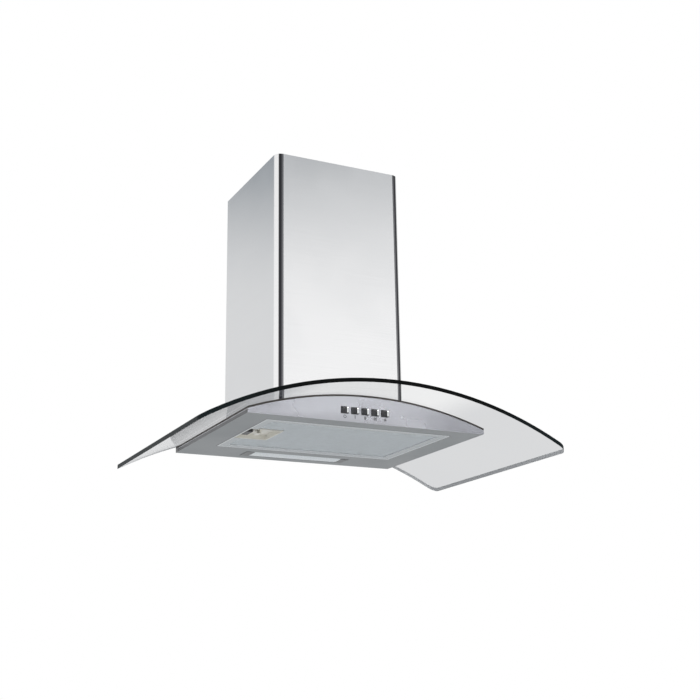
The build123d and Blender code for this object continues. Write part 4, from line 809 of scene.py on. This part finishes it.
# Push buttons: a crowned dark face and a bright strip on each, and a plain mark under it
BUTTON_NAMES = ["button_off", "button_low", "button_medium", "button_high", "button_light"]
BUTTONS_MIDDLE_X = -0.0105
BUTTON_PITCH = 0.017
BUTTON_Z = above(0.0175)
BUTTON_FACE_Y = -(CANOPY_FRONT + 0.0028)
# Each pad's name, X from and to and half height about the button's middle, rise, material and slot
BUTTON_PADS = [
    ("_face", -0.0049, 0.0023, 0.0041, 0.0004, button_plastic, "button_plastic"),
    ("_strip", 0.0025, 0.0050, 0.0042, 0.0003, chrome, "screw_steel"),
]


def button_x(index):
    return BUTTONS_MIDDLE_X + (index - 2) * BUTTON_PITCH


def add_pad(mesh_tool, low_x, high_x, low_z, high_z, rise, steps=10):
    """Crowned pad on a button's upright face, highest in its middle."""
    grid = []
    for row in range(steps + 1):
        v = row / steps
        line = []
        for column in range(steps + 1):
            u = column / steps
            lift = rise * (1 - (2 * u - 1) ** 6) * (1 - (2 * v - 1) ** 6)
            spot = (low_x + (high_x - low_x) * u, BUTTON_FACE_Y - lift, low_z + (high_z - low_z) * v)
            line.append(mesh_tool.verts.new(spot))
        grid.append(line)
    for lower, upper in zip(grid, grid[1:]):
        for column in range(steps):
            mesh_tool.faces.new((lower[column], lower[column + 1], upper[column + 1], upper[column]))
    border = grid[0] + [line[-1] for line in grid[1:]] + grid[-1][-2::-1] + [line[0] for line in grid[-2:0:-1]]
    mesh_tool.faces.new(border)


for index, name in enumerate(BUTTON_NAMES):
    x = button_x(index)
    for ending, from_x, to_x, half_z, rise, material, slot in BUTTON_PADS:
        pad = bmesh.new()
        add_pad(pad, x + from_x, x + to_x, BUTTON_Z - half_z, BUTTON_Z + half_z, rise)
        smooth_under(finish_piece(name + ending, pad, material, name), 60)

# Marks: a ring with a stroke for off, one to three bars for the speeds, and a lamp with eight rays
MARK_Z = above(0.0078)
MARK_RISE = 0.0001
SPEED_BAR = (0.0011, 0.0050)
SPEED_BAR_PITCH = 0.0019
RAY = (0.0012, 0.0005)
RAY_REACH = 0.0022


def add_bar(mesh_tool, x, z, width, height, turn=0.0):
    """Flat bar on the fascia's face, about a middle."""
    corners = []
    for sx, sz in ((-1, -1), (1, -1), (1, 1), (-1, 1)):
        along, up = sx * width / 2, sz * height / 2
        spot_x = along * math.cos(turn) - up * math.sin(turn)
        spot_z = along * math.sin(turn) + up * math.cos(turn)
        corners.append(mesh_tool.verts.new((x + spot_x, -CANOPY_FRONT, z + spot_z)))
    mesh_tool.faces.new(corners)


def add_arc(mesh_tool, x, z, inner, outer, start, end, steps=24):
    """Flat arc on the fascia's face, angles in degrees."""
    pairs = []
    for step in range(steps + 1):
        angle = math.radians(start + (end - start) * step / steps)
        spots = [(x + r * math.cos(angle), -CANOPY_FRONT, z + r * math.sin(angle)) for r in (inner, outer)]
        pairs.append([mesh_tool.verts.new(spot) for spot in spots])
    for here, after in zip(pairs, pairs[1:]):
        mesh_tool.faces.new((here[0], here[1], after[1], after[0]))


def thicken(mesh_tool, shift):
    """Turn flat faces into closed solids. Extruding does the same, but its order of faces differs by run."""
    flat = list(mesh_tool.faces)
    borders = [edge.verts[:] for edge in mesh_tool.edges if edge.is_boundary]
    raised = {vert: mesh_tool.verts.new(vert.co + shift) for vert in list(mesh_tool.verts)}
    for face in flat:
        mesh_tool.faces.new([raised[vert] for vert in face.verts])
    for first, last in borders:
        mesh_tool.faces.new((first, last, raised[last], raised[first]))


marks = bmesh.new()
add_arc(marks, button_x(0), MARK_Z - 0.0002, 0.0017, 0.0025, 125, 415)
add_bar(marks, button_x(0), MARK_Z + 0.0016, 0.0008, 0.0026)
for speed in (1, 2, 3):
    for bar in range(speed):
        add_bar(marks, button_x(speed) + (bar - (speed - 1) / 2) * SPEED_BAR_PITCH, MARK_Z, *SPEED_BAR)
add_arc(marks, button_x(4), MARK_Z, 0.0003, 0.0013, 0, 360)
for ray in range(8):
    angle = math.pi / 4 * ray
    ray_x, ray_z = button_x(4) + RAY_REACH * math.cos(angle), MARK_Z + RAY_REACH * math.sin(angle)
    add_bar(marks, ray_x, ray_z, *RAY, angle)
thicken(marks, Vector((0, -MARK_RISE, 0)))
finish_piece("button_marks", marks, mark_ink, "hood")


# Floor, world, lamps and camera
FLOOR_Z = -1.45
FLOOR_HALF = 9
# The floor's glow to the camera, near and far, the distances that are near and far, and its glow in mirrors
NEAR_GLOW, FAR_GLOW = 0.38, 0.58
NEAR, FAR = 1.8, 5.5
MIRRORED_GLOW = 0.37


def seen_rays(tree):
    """Whether a ray comes from the camera, straight or through glass, and whether it is a mirror image's."""
    rays = add_node(tree, "ShaderNodeLightPath").outputs
    return arithmetic(tree, "MAXIMUM", rays["Is Camera Ray"], rays["Is Transmission Ray"]), rays["Is Glossy Ray"]


def floor_material():
    """Pale matt floor, see-through from below.

    It glows more with distance, so that its edge doesn't show against the white world."""
    material, tree = new_material("floor_paint")
    speckle = noise(tree, coordinates(tree), scale=3.0)
    set_surface(tree, {
        "Base Color": mix_colours(tree, speckle, (0.78, 0.78, 0.78), (0.82, 0.82, 0.82)),
        "Roughness": 0.9,
    })
    seen, glossy = seen_rays(tree)
    mirrored = arithmetic(tree, "SUBTRACT", glossy, seen)
    distance = add_node(tree, "ShaderNodeVectorMath", operation="LENGTH")
    link(tree, coordinates(tree), distance.inputs[0])
    seen_glow = remap(tree, distance.outputs["Value"], NEAR_GLOW, FAR_GLOW, NEAR, FAR)
    glow = add_node(tree, "ShaderNodeEmission")
    strength = arithmetic(
        tree, "MAXIMUM",
        arithmetic(tree, "MULTIPLY", seen, seen_glow), arithmetic(tree, "MULTIPLY", mirrored, MIRRORED_GLOW),
    )
    link(tree, strength, glow.inputs["Strength"])
    lit = add_node(tree, "ShaderNodeAddShader")
    link(tree, tree.nodes["Principled BSDF"].outputs[0], lit.inputs[0])
    link(tree, glow.outputs[0], lit.inputs[1])
    below = add_node(tree, "ShaderNodeNewGeometry").outputs["Backfacing"]
    see_through = add_node(tree, "ShaderNodeBsdfTransparent").outputs[0]
    both_sides = mix_shaders(tree, below, lit.outputs[0], see_through)
    link(tree, both_sides, tree.nodes["Material Output"].inputs["Surface"])
    return material


floor_mesh = bpy.data.meshes.new("floor")
floor_corners = [(x * FLOOR_HALF, y * FLOOR_HALF, FLOOR_Z) for x, y in ((-1, -1), (1, -1), (1, 1), (-1, 1))]
floor_mesh.from_pydata(floor_corners, [], [(0, 1, 2, 3)])
floor = bpy.data.objects.new("floor", floor_mesh)
bpy.context.collection.objects.link(floor)
floor_mesh.materials.append(floor_material())


def tone(value, blue=0.0):
    """Grey of a brightness, tinted towards blue by a share."""
    return (value * (1 - blue), value * (1 - blue / 2), value)


# Brightness round the room that metal mirrors, by degrees to the right of the way the hood faces
WALLS = [
    (-180, tone(0.72, 0.02)), (-148, tone(0.74, 0.02)), (-132, tone(0.94)), (-60, tone(0.94)), (-20, tone(0.92)),
    (5, tone(1.0)), (60, tone(1.0)), (90, tone(0.86)), (150, tone(0.80)), (180, tone(0.72, 0.02)),
]
SHADED_BAND = [
    (-180, tone(0.22, 0.28)), (-148, tone(0.24, 0.28)), (-130, tone(0.88)), (-60, tone(0.88)),
    (-15, tone(0.60, 0.08)), (12, tone(0.33, 0.14)), (62, tone(0.33, 0.14)), (90, tone(0.56, 0.05)),
    (150, tone(0.50, 0.05)), (180, tone(0.22, 0.28)),
]
OVERHEAD = tone(0.80, 0.02)
# Where the walls pass into the band, and the band into the overhead light, by the upward part of a way
BAND_FROM, BAND_TO = 0.325, 0.46
OVERHEAD_FROM, OVERHEAD_TO = 0.54, 0.74


def background(tree, colour, strength=1.0):
    node = add_node(tree, "ShaderNodeBackground")
    set_inputs(tree, node, {"Color": colour, "Strength": strength})
    return node.outputs[0]


def studio_world():
    """White to the camera, a soft even light on surfaces, and a room with a shaded band for mirror images."""
    world = bpy.data.worlds.new("studio")
    world.use_nodes = True
    sky = world.node_tree
    sky.nodes.clear()
    output = add_node(sky, "ShaderNodeOutputWorld")
    way = split_vector(sky, add_node(sky, "ShaderNodeTexCoord").outputs["Generated"])
    heading = arithmetic(sky, "ARCTAN2", way[0], arithmetic(sky, "MULTIPLY", way[1], -1.0))
    turned = arithmetic(sky, "DIVIDE", arithmetic(sky, "ADD", heading, math.pi), 2 * math.pi)
    walls, band = [
        colour_ramp(sky, turned, [((degrees + 180) / 360, grey) for degrees, grey in stops])
        for stops in (WALLS, SHADED_BAND)
    ]
    room = mix_colours(sky, remap(sky, way[2], 0.0, 1.0, BAND_FROM, BAND_TO), walls, band)
    room = mix_colours(sky, remap(sky, way[2], 0.0, 1.0, OVERHEAD_FROM, OVERHEAD_TO), room, OVERHEAD)
    seen, glossy = seen_rays(sky)
    ambient = background(sky, (0.96, 0.98, 1.0), 0.55)
    unseen = mix_shaders(sky, glossy, ambient, background(sky, room))
    shown = mix_shaders(sky, seen, unseen, background(sky, (1.0, 1.0, 1.0)))
    link(sky, shown, output.inputs["Surface"])
    return world


bpy.context.scene.world = studio_world()


def area_light(name, place, target, size, power, colour):
    """Square lamp that mirror images don't show."""
    data = bpy.data.lights.new(name, "AREA")
    data.shape = "RECTANGLE"
    data.size = data.size_y = size
    data.energy = power
    data.color = colour
    lamp = bpy.data.objects.new(name, data)
    lamp.visible_glossy = False
    lamp.location = place
    lamp.rotation_euler = (Vector(target) - Vector(place)).to_track_quat("-Z", "Y").to_euler()
    bpy.context.collection.objects.link(lamp)


area_light("key", (1.2, -2.6, 1.6), (0, -0.2, 0), size=1.6, power=26, colour=(1, 1, 1))
area_light("fill", (-2.6, -1.2, 0.6), (0, -0.2, -0.1), size=1.8, power=14, colour=(0.95, 0.97, 1.0))

# Camera fitted to the photograph: angles in radians, place in metres, lens and sensor in millimetres
YAW, PITCH, ROLL = 0.4654, 0.2804, -0.0156
CAMERA_PLACE = (-0.8277, -1.9108, -0.6123)
LENS_LENGTH = 62.18
SENSOR_WIDTH = 36.0

forward = Vector((math.sin(YAW) * math.cos(PITCH), math.cos(YAW) * math.cos(PITCH), math.sin(PITCH)))
level_right = Vector((math.cos(YAW), -math.sin(YAW), 0))
level_up = level_right.cross(forward)
right = math.cos(ROLL) * level_right + math.sin(ROLL) * level_up
up = math.cos(ROLL) * level_up - math.sin(ROLL) * level_right
camera_data = bpy.data.cameras.new("camera")
camera_data.sensor_width = SENSOR_WIDTH
camera_data.lens = LENS_LENGTH
camera = bpy.data.objects.new("camera", camera_data)
camera.matrix_world = Matrix([*zip(right, up, -forward, CAMERA_PLACE), (0, 0, 0, 1)])
bpy.context.collection.objects.link(camera)
bpy.context.scene.camera = camera
bpy.context.scene.view_settings.view_transform = "Standard"
